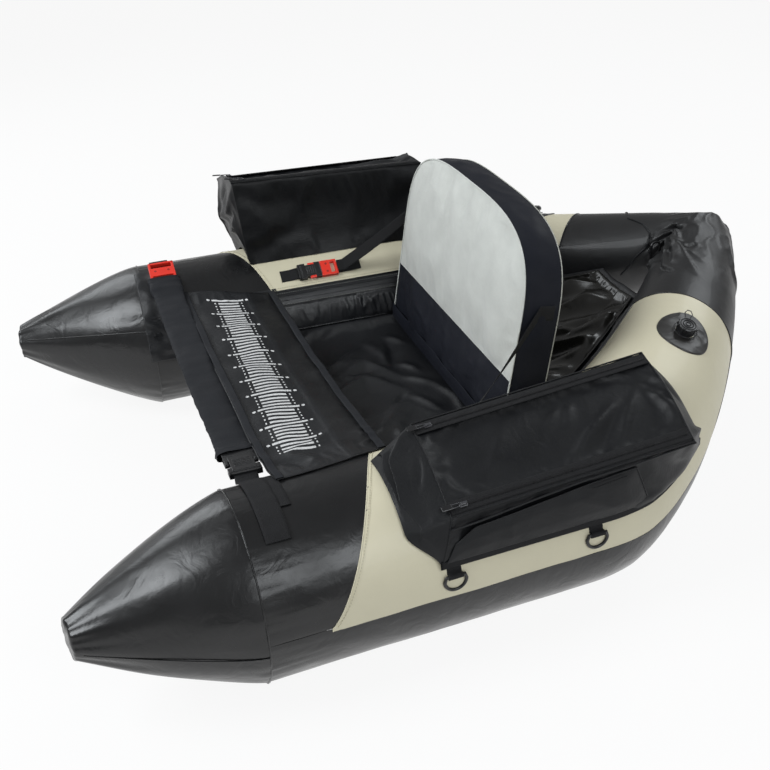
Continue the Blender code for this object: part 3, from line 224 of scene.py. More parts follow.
def axis_point(share):
    """The tube's axis seen from above."""
    if share <= STRAIGHT_SHARE:
        return NOSE_BASE.lerp(BEND, share / STRAIGHT_SHARE)
    return cubic((share - STRAIGHT_SHARE) / (1 - STRAIGHT_SHARE), *CURVE)


def axis_direction(share):
    """The way the axis runs, towards the stern."""
    if share <= STRAIGHT_SHARE:
        return STRAIGHT
    return cubic_way((share - STRAIGHT_SHARE) / (1 - STRAIGHT_SHARE), *CURVE).normalized()


def across(share):
    """The outward direction of the section plane, and its stretch at the mitre."""
    way = axis_direction(share)
    square = Vector((way.y, -way.x))
    lean = clamp(axis_point(share).x / MITRE_REACH)
    plane = Vector((square.x * lean, square.y)).normalized()
    return plane, 1 / plane.dot(square)


def tube_radius(share):
    u = clamp((share - TAPER_START) / (1 - TAPER_START))
    return mix(TUBE_RADIUS, APEX_RADIUS, u**TAPER_POWER)


def tube_height(share):
    u = clamp((share - RISE_START) / (1 - RISE_START))
    return tube_radius(share) * REST_COS + APEX_RISE * u**RISE_POWER


def flat_foot(angle, radius):
    """How far the cloth is pressed in where the tube stands on the floor."""
    down = abs(angle % 360 - 270)
    if down >= REST_ANGLE:
        return 0.0
    return radius * (1 - REST_COS / math.cos(math.radians(down)))


def section_point(centre, height, plane, radius, angle, side, stretch=1.0):
    """A point of a round section in an upright plane."""
    reach, rise = polar(radius, math.radians(angle))
    reach *= stretch
    return Vector((side * (centre.x + plane.x * reach), centre.y + plane.y * reach, height + rise))


def hull_point(share, angle, lift=0.0, side=LEFT):
    """A point of the tube's surface, or above it by lift."""
    plane, stretch = across(share)
    radius = tube_radius(share)
    radius += lift - flat_foot(angle, radius)
    centre = axis_point(share)
    return section_point(centre, tube_height(share), plane, radius, angle, side, stretch)


def nose_point(share, angle, lift=0.0, side=LEFT):
    """A point of the nose cone's surface, from its base ring to its tip."""
    base = Vector((*NOSE_BASE, tube_height(0.0)))
    centre = base.lerp(NOSE_TIP, share)
    way = (base - NOSE_TIP).to_2d().normalized()
    plane = across(0.0)[0].lerp(Vector((way.y, -way.x)), share).normalized()
    radius = mix(TUBE_RADIUS, NOSE_TIP_RADIUS, share**NOSE_POWER)
    radius += lift - flat_foot(angle, radius) * (1 - share)
    return section_point(centre, centre.z, plane, radius, angle, side)


def deck_front(angle):
    """The slanted front seam of the deck, as a share of the path."""
    return tube_share(mix(*DECK_FRONT, clamp(angle / DECK_EDGE) ** DECK_FRONT_POWER))


def frame_at(place, x, y, z):
    """A frame at a place, from its three axes."""
    return Matrix.Translation(place) @ Matrix((x, y, z)).transposed().to_4x4()


def column(matrix, k):
    return matrix.col[k].to_3d()


def hull_frame(share, angle, lift=0.0, side=LEFT):
    """A frame on the surface: Z square to it, Y along the tube to the stern, X the rest."""
    place = hull_point(share, angle, lift, side)
    back, ahead = (hull_point(share + step, angle, lift, side) for step in (-0.001, 0.001))
    below, above = (hull_point(share, angle + step, lift, side) for step in (-0.5, 0.5))
    along = (ahead - back).normalized()
    centre = axis_point(share)
    middle = Vector((side * centre.x, centre.y, tube_height(share)))
    outward = facing(along.cross(above - below).normalized(), place - middle)
    return frame_at(place, along.cross(outward), along, outward)


def lying_frame(y, angle, side, lift, over=False):
    """A frame on the surface whose X runs along the tube to the stern, or over the tube."""
    share = tube_share(y)
    here = hull_frame(share, angle, lift, side)
    forward, outward, place = (column(here, k) for k in (1, 2, 3))
    if over:
        above, below = (hull_point(share, angle + step, 0.0, side) for step in (-1, 1))
        turned = above - below
        forward = (turned - forward * turned.dot(forward)).normalized()
    return frame_at(place, forward, outward.cross(forward), outward)


# Materials


def set_inputs(node, inputs):
    """Gives a shader node values or links."""
    for key, value in inputs.items():
        socket = node.inputs[key]
        if isinstance(value, bpy.types.NodeSocket):
            node.id_data.links.new(value, socket)
        else:
            socket.default_value = value


def add_node(tree, kind, inputs=None, **settings):
    made = tree.nodes.new("ShaderNode" + kind)
    for key, value in settings.items():
        setattr(made, key, value)
    set_inputs(made, inputs or {})
    return made


class Signal:
    """A shader value that is reckoned with through Math nodes."""

    def __init__(self, socket):
        self.socket = socket

    def reckon(self, operation, *others):
        values = (self.socket, *(o.socket if isinstance(o, Signal) else o for o in others))
        made = add_node(self.socket.id_data, "Math", dict(enumerate(values)), operation=operation)
        return Signal(made.outputs[0])

    __add__ = partialmethod(reckon, "ADD")
    __sub__ = partialmethod(reckon, "SUBTRACT")
    __mul__ = partialmethod(reckon, "MULTIPLY")
    __truediv__ = partialmethod(reckon, "DIVIDE")
    __lt__ = partialmethod(reckon, "LESS_THAN")
    __gt__ = partialmethod(reckon, "GREATER_THAN")
    __abs__ = partialmethod(reckon, "ABSOLUTE")
    largest = partialmethod(reckon, "MAXIMUM")


def coords(tree, kind="Object"):
    return add_node(tree, "TexCoord").outputs[kind]


def patches(tree, scale, detail=2.0, **more):
    """Soft noise from 0 to 1."""
    inputs = {"Vector": coords(tree), "Scale": scale, "Detail": detail, **more}
    return add_node(tree, "TexNoise", inputs).outputs["Fac"]


def stripes(tree, place, scale, way):
    inputs = {"Vector": place, "Scale": scale}
    return Signal(add_node(tree, "TexWave", inputs, bands_direction=way).outputs["Fac"])


def blend_colours(tree, factor, first, second):
    inputs = {0: factor, 6: first, 7: second}
    return add_node(tree, "Mix", inputs, data_type="RGBA").outputs[2]


def map_range(tree, value, source, target):
    names = ("From Min", "From Max", "To Min", "To Max")
    inputs = dict(zip(names, (*source, *target)))
    return add_node(tree, "MapRange", {"Value": value, **inputs}).outputs[0]


def stack_bumps(tree, shader, *layers):
    """Chains bump nodes: each layer is a height socket, a strength and a depth in metres."""
    normal = {}
    for height, strength, depth in layers:
        inputs = {"Height": height, "Strength": strength, "Distance": depth, **normal}
        normal = {"Normal": add_node(tree, "Bump", inputs).outputs[0]}
    set_inputs(shader, normal)


def start_material(name, colour, roughness, more=None):
    made = bpy.data.materials.new(name)
    made.use_nodes = True
    shader = made.node_tree.nodes["Principled BSDF"]
    set_inputs(shader, {"Base Color": (*colour, 1.0), "Roughness": roughness, **(more or {})})
    return made, made.node_tree, shader


def vary(tree, shader, colour, change, scale):
    """Breaks one colour up with soft patches."""
    ends = [(*(min(c * (1 + step), 1.0) for c in colour), 1.0) for step in (-change, change)]
    broad = patches(tree, scale, 4.0, Roughness=0.6)
    set_inputs(shader, {"Base Color": blend_colours(tree, broad, *ends)})


def vary_roughness(tree, shader, low, high, scale):
    spread = map_range(tree, patches(tree, scale, 3.0), (0.3, 0.7), (low, high))
    set_inputs(shader, {"Roughness": spread})


def coated_cloth(name, colour, low, high, crumple, change=0.10):
    """Reinforced vinyl: a fine grain, a soft crumple and uneven gloss."""
    made, tree, shader = start_material(name, colour, high, {"Coat Weight": 0.08})
    vary(tree, shader, colour, change, 14.0)
    vary_roughness(tree, shader, low, high, 9.0)
    inputs = {"Vector": coords(tree), "Scale": 900.0}
    grain = add_node(tree, "TexVoronoi", inputs).outputs["Distance"]
    folds = patches(tree, 26.0, 3.0, Distortion=1.2)
    broad = patches(tree, 7.0, Distortion=0.6)
    layers = ((broad, 0.5, 0.004 * crumple), (folds, 0.6, 0.002 * crumple), (grain, 0.25, 0.0001))
    stack_bumps(tree, shader, *layers)
    return made


def nylon(name, colour, low, high, pitch, crumple=1.0, sheen=0.0, shine=0.24):
    """Coated nylon: a fine over-and-under weave, small creases and a dull sheen."""
    more = {"Sheen Weight": sheen, "Sheen Roughness": 0.5, "Specular IOR Level": shine}
    made, tree, shader = start_material(name, colour, high, more)
    vary(tree, shader, colour, 0.18, 22.0)
    vary_roughness(tree, shader, low, high, 16.0)
    creases = patches(tree, 42.0, 5.0, Distortion=1.6)
    scale = math.pi / 10 / pitch
    weave = stripes(tree, coords(tree), scale, "X") * stripes(tree, coords(tree), scale, "Y")
    stack_bumps(tree, shader, (creases, 0.5, 0.0016 * crumple), (weave.socket, 0.3, pitch * 0.2))
    return made


def webbing(name, colour, pitch=0.0017):
    """Woven strap: ribs across its length and rows along it, read from its own UV map."""
    made, tree, shader = start_material(name, colour, 0.75, {"Specular IOR Level": 0.25})
    vary(tree, shader, colour, 0.25, 60.0)
    scale = math.pi / 10 / pitch
    ribs = stripes(tree, coords(tree, "UV"), scale, "X").socket
    rows = stripes(tree, coords(tree, "UV"), scale * 0.8, "Y").socket
    stack_bumps(tree, shader, (ribs, 0.6, 0.0004), (rows, 0.5, 0.0003))
    return made


def moulded(name, colour, roughness):
    """Moulded plastic: faint orange peel and finger wear."""
    made, tree, shader = start_material(name, colour, roughness)
    vary(tree, shader, colour, 0.08, 80.0)
    vary_roughness(tree, shader, roughness * 0.8, roughness * 1.3, 60.0)
    stack_bumps(tree, shader, (patches(tree, 1400.0), 0.2, 0.0001))
    return made


def ruler_cloth(colour):
    """The apron's cloth with a plain white scale: bars at even steps, each fifth one longer,
    rows of dots beside them, a larger spot at the long ones, and a darker band at the rear."""
    made = nylon("ruler_cloth", colour, 0.42, 0.58, 0.0012, 0.7, shine=0.4)
    tree = made.node_tree
    shader = tree.nodes["Principled BSDF"]
    parts = add_node(tree, "SeparateXYZ", {"Vector": coords(tree, "UV")}).outputs
    u, v = Signal(parts[0]), Signal(parts[1])
    swing = (v * 62.0 + u * 9.0).reckon("SINE")
    p = (u + swing * 0.0040 - RULER_START) / RULER_PITCH
    inside = (p > 0.0) * (p < RULER_BARS + 1.0)
    step = abs(p.reckon("FRACT") - 0.5)
    low, high = RULER_BAND
    away = abs(v + u * RULER_SKEW - ((low + high) / 2 + RULER_SKEW * 0.58))
    reach = u * 0.010 + ((high - low) / 2 - 0.005)
    fifth = (p / 5.0).reckon("FRACT")
    extent = reach - 0.006 + (fifth < 0.2) * 0.011
    bars = (step < 0.24) * (away < extent)
    dots = (abs(away - reach) < 0.0013) * (step < 0.20)
    from_long = (fifth - 0.1) * (5.0 * RULER_PITCH)
    from_row = away - (reach + 0.0115)
    spots = from_long * from_long + from_row * from_row < 0.0030**2
    worn = map_range(tree, patches(tree, 220.0, 3.0), (0.25, 0.45), (0.55, 0.92))
    ink = bars.largest(dots).largest(spots) * inside * Signal(worn)
    cloth = shader.inputs["Base Color"].links[0].from_socket
    printed = blend_colours(tree, ink.socket, cloth, (0.72, 0.72, 0.72, 1.0))
    band = ((v > 0.130) * 0.75).socket
    dark = (0.002, 0.002, 0.0024, 1.0)
    set_inputs(shader, {"Base Color": blend_colours(tree, band, printed, dark)})
    return made


MATERIALS = {}
# The record's slot for each finish that isn't a slot itself
SLOTS = {
    **dict.fromkeys(("pocket_nylon", "gusset_nylon", "pan_nylon", "wall_nylon"), "black_nylon"),
    **dict.fromkeys(("sleeve_nylon", "ruler_cloth", "seam_thread"), "black_nylon"),
    "stern_pvc": "black_pvc",
    "patch_vinyl": "valve_rubber",
    "slider_metal": "black_plastic",
    "pale_piping": "grey_cloth",
    "beige_thread": "beige_pvc",
}


def tint(colour, *shares):
    """A colour with its channels scaled, all by one share or each by its own."""
    return tuple(c * s for c, s in zip(colour, shares * (3 // len(shares))))


def make_materials(colours):
    """Every finish of the object, once."""
    black, beige, cloth = colours.vinyl_black, tuple(colours.vinyl_beige), colours.nylon_black
    grey = (0.010, 0.010, 0.011)
    MATERIALS.update(
        black_pvc=coated_cloth("black_vinyl", tint(black, 0.8), 0.22, 0.40, 1.0),
        beige_pvc=coated_cloth("beige_vinyl", beige, 0.42, 0.58, 0.55, 0.05),
        black_nylon=nylon("black_nylon", tuple(cloth), 0.48, 0.70, 0.0012),
        pocket_nylon=nylon("pocket_nylon", tint(cloth, 0.85), 0.38, 0.58, 0.0014, 0.8, shine=0.30),
        gusset_nylon=nylon("gusset_nylon", tint(cloth, 1, 1.1, 1.6), 0.6, 0.8, 0.0016, 0.5),
        pan_nylon=nylon("pan_nylon", tint(cloth, 1.25), 0.40, 0.56, 0.0011, 0.5, shine=0.5),
        wall_nylon=nylon("wall_nylon", tint(cloth, 1.3), 0.28, 0.42, 0.0011, 0.3, shine=0.5),
        stern_pvc=coated_cloth("stern_vinyl", tint(black, 0.8), 0.40, 0.55, 0.7),
        liner_film=coated_cloth("liner_film", (0.006, 0.0056, 0.004), 0.20, 0.36, 0.5),
        grey_cloth=nylon("grey_cloth", tuple(colours.panel_grey), 0.70, 0.85, 0.0018, 0.5, 0.4),
        webbing=webbing("black_webbing", (0.011, 0.011, 0.012)),
        black_plastic=moulded("black_plastic", grey, 0.34),
        red_plastic=moulded("red_plastic", tuple(colours.buckle_red), 0.36),
        patch_vinyl=coated_cloth("patch_vinyl", (0.016, 0.015, 0.014), 0.34, 0.50, 0.5),
        valve_rubber=moulded("valve_rubber", (0.014, 0.014, 0.015), 0.55),
        slider_metal=moulded("slider_metal", (0.05, 0.05, 0.055), 0.22),
        sleeve_nylon=nylon("sleeve_nylon", (0.012, 0.013, 0.016), 0.6, 0.8, 0.0018, 0.6),
        pale_piping=nylon("pale_piping", (0.42, 0.42, 0.38), 0.7, 0.85, 0.0018, 0.2),
        ruler_cloth=ruler_cloth(tint(cloth, 1.2)),
        seam_thread=moulded("seam_thread", (0.16, 0.16, 0.15), 0.8),
        beige_thread=moulded("beige_thread", tint(beige, 0.72), 0.8),
    )


# Geometry


def new_object(name, data):
    made = bpy.data.objects.new(name, data)
    bpy.context.scene.collection.objects.link(made)
    return made


def new_mesh(name, bm):
    mesh = bpy.data.meshes.new(name)
    bm.to_mesh(mesh)
    bm.free()
    return mesh


def add_piece(name, data, finish, replaces=(), body=HULL, slot=None):
    """Links a mesh or curve as a piece that rides on a body."""
    made = new_object(name, data)
    data.materials.append(MATERIALS[finish])
    if body:
        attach(made, body)
    if replaces:
        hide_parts(*replaces)
    slot or SLOTS.get(finish, finish)
    return made


def add_modifier(made, name, kind, **values):
    added = made.modifiers.new(name, kind)
    for key, value in values.items():
        setattr(added, key, value)
    return added


def line_length(points):
    return sum((b - a).length for a, b in zip(points, points[1:]))


def flat_size(rows):
    """Width and length of a grid of points along its middle lines."""
    middle = len(rows[0]) // 2
    return line_length([row[middle] for row in rows]), line_length(rows[len(rows) // 2])


def edge_pins(reach):
    """Pins a cloth within reach of its four edges."""
    return lambda a, b: min(a, 1 - a, b, 1 - b) < reach


def grid_piece(name, rows, finish, replaces=(), body=HULL, slot=None, wrap=False, pins=None):
    """A cloth skin through rows of points, with a UV map in metres, and pinned where pins says."""
    last_row, last = len(rows) - 1, len(rows[0]) - 1
    width, length = flat_size(rows)
    bm = bmesh.new()
    layer = bm.loops.layers.uv.new("UVMap")
    bmesh.ops.create_grid(bm, x_segments=last_row, y_segments=last, size=0.5, calc_uvs=True)
    for face in bm.faces:
        face.smooth = True
        for loop in face.loops:
            x, y, _ = loop.vert.co
            loop[layer].uv = ((y + 0.5) * length, (x + 0.5) * width)
    pinned = []
    for index, vert in enumerate(bm.verts):
        a, b = vert.co.x + 0.5, vert.co.y + 0.5
        vert.co = rows[round(a * last_row)][round(b * last)]
        if pins and pins(a, b):
            pinned.append(index)
    if wrap:
        bmesh.ops.remove_doubles(bm, verts=bm.verts, dist=0.00002)
    made = add_piece(name, new_mesh(name, bm), finish, replaces, body, slot)
    if pins:
        made.vertex_groups.new(name="seams").add(pinned, 1.0, "REPLACE")
    return made


def settle(made, grow, cap, bend, gravity=0.0, pressure=0.0, frames=18):
    """Lets the cloth buckle between its pinned seams, and keeps the shape that it comes to."""
    mesh = made.data
    start = [v.co.copy() for v in mesh.vertices]
    cloth = made.modifiers.new("cloth", "CLOTH")
    values = {
        "quality": 5,
        "mass": 0.15,
        "bending_stiffness": bend,
        "vertex_group_mass": "seams",
        "shrink_min": -grow,
        "use_pressure": pressure != 0,
        "uniform_pressure_force": pressure,
    }
    for key, value in values.items():
        setattr(cloth.settings, key, value)
    cloth.settings.effector_weights.gravity = gravity
    cloth.collision_settings.use_collision = False
    cloth.point_cache.frame_end = frames
    scene = bpy.context.scene
    for frame_number in range(1, frames + 1):
        scene.frame_set(frame_number)
    shape = made.evaluated_get(bpy.context.evaluated_depsgraph_get()).to_mesh()
    moved = [v.co - old for v, old in zip(shape.vertices, start)]
    made.modifiers.remove(cloth)
    for vert, old, move in zip(mesh.vertices, start, moved):
        vert.co = old + move * min(1.0, cap / max(move.length, 1e-9))
    scene.frame_set(1)
    mesh.update()


def finish_cloth(made, thickness=0.0):
    """Rounds a settled cloth off and gives it its thickness, inwards where that is negative."""
    add_modifier(made, "smooth", "SUBSURF", levels=1, render_levels=1)
    if thickness:
        way = math.copysign(1.0, thickness)
        add_modifier(made, "thickness", "SOLIDIFY", thickness=abs(thickness), offset=way)


def boxes_piece(name, boxes, finish, replaces=(), body=HULL, slot=None, bevel=0.0):
    """Small blocks as one piece, with softened edges; each block is low, high and a matrix."""
    bm = bmesh.new()
    for low, high, matrix in boxes:
        low, high = Vector(low), Vector(high)
        size = Matrix.Diagonal((*(high - low), 1.0))
        placed = matrix @ Matrix.Translation((low + high) / 2) @ size
        bmesh.ops.create_cube(bm, size=1.0, matrix=placed)
    made = add_piece(name, new_mesh(name, bm), finish, replaces, body, slot)
    if bevel:
        add_modifier(made, "edges", "BEVEL", width=bevel, segments=2)


def ribbon(name, places, width, thickness, finish, replaces=(), body=HULL, slot=None):
    """A strap through places, each a point, its width direction and its outward direction."""
    steps = [k / 4 - 1 for k in range(9)]
    rows = []
    for a, face in [(a, 1) for a in steps] + [(a, -1) for a in reversed(steps)]:
        deep = face * (thickness / 2 * (1 - 0.18 * abs(a) ** 6))
        rows.append([p + w * (a * width / 2) + n * deep for p, w, n in places])
    return grid_piece(name, [*rows, rows[0]], finish, replaces, body, slot, wrap=True)


def tube_piece(
    name, points, radius, finish, replaces=(), body=HULL, slot=None, cyclic=False, sides=2
):
    """A cord or welt along points."""
    data = bpy.data.curves.new(name, "CURVE")
    data.dimensions = "3D"
    data.bevel_depth = radius
    data.bevel_resolution = sides
    data.use_fill_caps = not cyclic
    spline = data.splines.new("POLY")
    spline.points.add(len(points) - 1)
    for target, point in zip(spline.points, points):
        target.co = (*point, 1.0)
    spline.use_cyclic_u = cyclic
    return add_piece(name, data, finish, replaces, body, slot)


def spaced(points, pitch):
    """Points at an even pitch along a line, each with its direction."""
    made, left = [], 0.0
    for a, b in zip(points, points[1:]):
        run = (b - a).length
        while left <= run and run > 0:
            made.append((a.lerp(b, left / run), (b - a).normalized()))
            left += pitch
        left -= run
    return made


def stitches(name, points, outward, finish, pitch=0.0052, length=0.0034, slot=None):
    """A row of raised stitches along a line; outward gives the surface's direction at a point."""
    half = Vector((length / 2, 0.00042, 0.00038))
    boxes = []
    for place, way in spaced(points, pitch):
        side = outward(place).normalized().cross(way).normalized()
        boxes.append((-half, half, frame_at(place, way, side, way.cross(side))))
    boxes_piece(name, boxes, finish, slot=slot)


def resample(points, count):
    """count points at even distances along an open line, without its last point."""
    lengths = [0.0]
    for a, b in zip(points, points[1:]):
        lengths.append(lengths[-1] + (b - a).length)
    made, k = [], 0
    for n in range(count):
        target = lengths[-1] * n / count
        while lengths[k + 1] < target:
            k += 1
        share = (target - lengths[k]) / (lengths[k + 1] - lengths[k])
        made.append(points[k].lerp(points[k + 1], share))
    return made


def square_rings(outline):
    """Rows of a grid whose concentric squares follow a closed outline of 4 * BACK_STEPS points."""
    middle = sum(outline, Vector()) / len(outline)
    half = BACK_STEPS // 2

    def place(a, b):
        m = max(abs(a), abs(b))
        if m == 0:
            return middle.copy()
        x, y = a / m, b / m
        if y == -1:
            index = (x + 1) / 2
        elif x == 1:
            index = 1 + (y + 1) / 2
        elif y == 1:
            index = 2 + (1 - x) / 2
        else:
            index = 3 + (1 - y) / 2
        spot = index * BACK_STEPS
        low = int(spot) % len(outline)
        edge = outline[low].lerp(outline[(low + 1) % len(outline)], spot - int(spot))
        return middle.lerp(edge, m / half)

    return grid(range(-half, half + 1), range(-half, half + 1), place)


def wave(point, scale, seed=0.0):
    """Smooth noise from -1 to 1 at a place, for a given number of waves a metre."""
    return noise.noise(point * scale + Vector((seed, seed * 0.7, -seed)))


def ridge(point, scale, seed=0.0):
    """Creases: sharp crests where the noise crosses zero."""
    return (1 - abs(wave(point, scale, seed) * 2)) ** 2


def ready_folds(folds, stretch=1.0):
    """Folds with their lines measured: each has its points, steps, box, height and width."""
    made = []
    for line, height, width in folds:
        points = [Vector((x, y * stretch)) for x, y in line]
        steps = [(b - a).length for a, b in zip(points, points[1:])]
        xs, ys = zip(*points)
        box = (min(xs) - width, max(xs) + width, min(ys) - width, max(ys) + width)
        made.append((points, steps, box, height, width))
    return made


def fold_height(spot, folds):
    """How far folds lift a flat place: crisp crests, steep on one side, that fade at their ends."""
    total = 0.0
    for points, steps, box, height, width in folds:
        if not (box[0] < spot[0] < box[1] and box[2] < spot[1] < box[3]):
            continue
        best, at, run, whole = width, 0.0, 0.0, sum(steps)
        for a, b, step in zip(points, points[1:], steps):
            way = (b - a) / step
            reach = spot - a
            share = clamp(reach.dot(way) / step)
            off = reach - way * (share * step)
            away = off.length * (1.9 if way.x * off.y < way.y * off.x else 1.0)
            if away < best:
                best, at = away, (run + share * step) / whole
            run += step
        taper = min(1.0, 0.1 + 2.6 * at, 0.1 + 2.6 * (1 - at))
        total += height * taper * (1 - best / width) ** 1.6
    return total


# Each fold: the points of its line across and along, its height and its half width.
PAN_FOLDS = (
    (
        ((-0.030, 0.012), (-0.086, -0.030), (-0.118, -0.048), (-0.096, -0.086), (-0.071, -0.130)),
        0.012,
        0.040,
    ),
    (((-0.210, -0.030), (-0.165, -0.012), (-0.120, -0.004)), 0.008, 0.030),
    (((-0.190, -0.030), (-0.154, -0.074), (-0.106, -0.126)), 0.010, 0.036),
    (
        ((0.010, -0.004), (-0.043, -0.045), (-0.060, -0.068), (-0.034, -0.110), (-0.005, -0.158)),
        0.013,
        0.040,
    ),
    (((0.011, -0.010), (0.045, -0.042)), -0.008, 0.016),
    (((0.040, -0.026), (0.119, -0.087), (0.160, -0.128)), 0.010, 0.034),
    (((-0.097, -0.150), (-0.052, -0.112)), 0.006, 0.016),
    (((-0.208, 0.022), (-0.160, 0.050)), 0.009, 0.018),
    (((-0.101, 0.010), (-0.050, 0.042)), 0.010, 0.018),
    (((-0.040, 0.002), (0.002, 0.048)), 0.011, 0.020),
    (((0.022, -0.010), (0.105, 0.030)), 0.010, 0.022),
    (((-0.210, 0.022), (-0.157, 0.019), (-0.079, -0.001)), -0.008, 0.024),
    (((-0.155, -0.002), (-0.085, -0.013)), 0.006, 0.016),
    (((0.034, -0.173), (0.103, -0.163), (0.165, -0.123)), 0.008, 0.028),
    (((0.060, -0.010), (0.110, -0.060), (0.200, -0.080)), 0.006, 0.030),
    (((-0.020, 0.040), (0.060, 0.070), (0.150, 0.060)), 0.008, 0.026),
)
LID_FOLDS = (
    (((0.448, 0.176), (0.485, 0.107), (0.509, 0.075), (0.527, 0.038)), 0.010, 0.020),
    (((0.466, 0.044), (0.430, 0.088)), 0.006, 0.013),
    (((0.466, 0.082), (0.430, 0.105)), 0.006, 0.013),
    (((0.436, 0.214), (0.479, 0.232), (0.503, 0.236)), 0.008, 0.014),
    (((0.436, 0.214), (0.466, 0.182), (0.503, 0.151), (0.521, 0.126)), 0.008, 0.014),
    (((0.521, 0.107), (0.460, 0.170)), -0.006, 0.014),
    (((0.478, -0.118), (0.448, -0.100)), 0.005, 0.012),
    (((0.512, -0.118), (0.480, -0.112)), 0.005, 0.012),
    (((0.430, 0.000), (0.500, -0.060)), 0.004, 0.030),
)
BACK_FOLDS = (
    (((-0.09, 0.108), (-0.08, 0.06), (-0.06, 0.035)), 0.0050, 0.020),
    (((-0.20, 0.104), (-0.12, 0.075), (-0.03, 0.050)), 0.0050, 0.020),
    (((-0.21, 0.070), (-0.13, 0.035)), 0.0040, 0.016),
    (((-0.01, 0.105), (0.02, 0.060), (0.03, 0.035)), 0.0045, 0.018),
    (((0.08, 0.105), (0.07, 0.040)), 0.0040, 0.018),
    (((0.14, 0.108), (0.17, 0.050), (0.22, 0.030)), 0.0050, 0.020),
)
# Across the section from the inner foot to the hem, and up from the hull to the lid.
END_FOLDS = (
    (((0.18, 0.95), (0.30, 0.55), (0.55, 0.45), (0.85, 0.62)), 0.014, 0.15),
    (((0.05, 0.70), (0.28, 0.30), (0.60, 0.20)), 0.011, 0.13),
    (((0.70, 0.90), (0.80, 0.40), (0.95, 0.15)), 0.009, 0.10),
    (((0.40, 0.90), (0.55, 0.65)), -0.007, 0.09),
)
# Along the stern in metres from the middle, left positive, and the angle round the tube.
STERN_FOLDS = (
    (((-0.038, 138), (0.120, 105), (0.148, 78), (0.158, 69)), 0.007, 0.013),
    (((-0.054, 132), (0.038, 138), (0.170, 87), (0.198, 72)), 0.008, 0.013),
    (((-0.074, 162), (0.150, 117), (0.174, 99)), -0.015, 0.020),
    (((-0.054, 180), (0.204, 117)), -0.012, 0.016),
    (((0.148, 132), (0.194, 102)), -0.010, 0.013),
    (((0.078, 141), (0.108, 117)), 0.007, 0.011),
    (((0.100, 114), (0.114, 87)), -0.007, 0.011),
    (((0.108, 96), (0.106, 84)), 0.006, 0.011),
    (((-0.044, 135), (0.014, 132), (0.036, 108)), -0.020, 0.018),
    (((-0.056, 141), (-0.060, 144)), 0.007, 0.012),
    (((-0.062, 153), (-0.065, 156)), 0.007, 0.012),
    (((0.020, 175), (0.090, 168), (0.120, 150)), 0.010, 0.014),
    (((0.010, 195), (0.120, 200)), -0.010, 0.018),
    (((0.060, 40), (0.110, 20), (0.130, -10)), 0.006, 0.016),
    (((-0.020, 60), (0.010, 20), (0.015, -30)), -0.005, 0.022),
    (((-0.090, 70), (-0.060, 30), (-0.050, -20)), -0.005, 0.022),
)
STERN_RUN, STERN_ROUND = 1.2, 0.0014
FAR_SEAM = (
    ((0.850, -60), (0.850, 0), (0.860, 60), (0.880, 99), (0.910, 114))
    + ((0.938, 135), (0.950, 156), (0.917, 168), (0.890, 190))
)


def colour_choice(name, description, default):
    return FloatVectorProperty(name=name, description=description, subtype="COLOR", default=default)


class FloatTubeColours(bpy.types.PropertyGroup):
    """The colours that a user would change"""

    vinyl_black: colour_choice(
        "Black vinyl", "Colour of the keel, cones and stern", (0.0070, 0.0072, 0.0080)
    )
    vinyl_beige: colour_choice("Beige vinyl", "Colour of the deck panels", (0.66, 0.615, 0.455))
    nylon_black: colour_choice(
        "Nylon", "Colour of the pockets, seat and apron", (0.0060, 0.0066, 0.0080)
    )
    panel_grey: colour_choice(
        "Backrest panel", "Colour of the backrest's front", (0.60, 0.615, 0.58)
    )
    buckle_red: colour_choice("Red buckles", "Colour of the release tongues", (0.80, 0.035, 0.018))


class FloatTubeSizes(bpy.types.PropertyGroup):
    """The sizes and counts that a user would change"""

    seam_width: FloatProperty(
        name="Seam overlap", description="How far a deck panel laps its neighbour", default=0.007
    )
    crease: FloatProperty(
        name="Crease depth", description="Depth of the puckers along the seams", default=0.0022
    )
    detail: IntProperty(name="Detail", description="Points along each hull panel", default=110)
    bump_lift: FloatProperty(
        name="Panel lift", description="How proud the deck cloth lies", default=0.0010
    )


def settings():
    return bpy.context.scene.float_tube_sizes


class FLOATTUBE_OT_pontoons(bpy.types.Operator):
    """Builds the two pontoons' covers, their cones and the stern"""

    bl_idname = "float_tube.pontoons"
    bl_label = "Pontoons"

    def execute(self, context):
        for side in SIDES:
            for build in (build_cone, build_keel, build_deck, build_wall, build_seams, build_valve):
                build(side, NAMES[side])
        build_stern()
        return {"FINISHED"}


def pucker(distance, along, seed, reach=0.03):
    """Short folds that cross a seam and fade away from it."""
    fade = math.exp(-abs(distance) / reach)
    return fade * noise.noise(Vector((along * 55.0, distance * 9.0, seed))) * settings().crease


def cover_point(share, angle, side, lift=0.0):
    """A point over the covers' own unevenness: soft waves, and puckers at the cone's base."""
    place = hull_point(share, angle, 0.0, side)
    soft = 0.0013 * wave(place, 9.0, 2.0) + 0.0004 * wave(place, 31.0, 4.0)
    drawn = pucker(share, math.radians(angle), 1.0 + side, 0.05)
    return hull_point(share, angle, lift + (soft * smooth(0.0, 0.05, share) + drawn), side)


# The rings of the cone's tip disc: their share of its radius and how far they bulge
TIP_DISC = (
    ((0.985, 0.0014), (0.95, 0.0030), (0.88, 0.0042))
    + ((0.62, 0.0050), (0.30, 0.0044), (0.0, 0.0040))
)


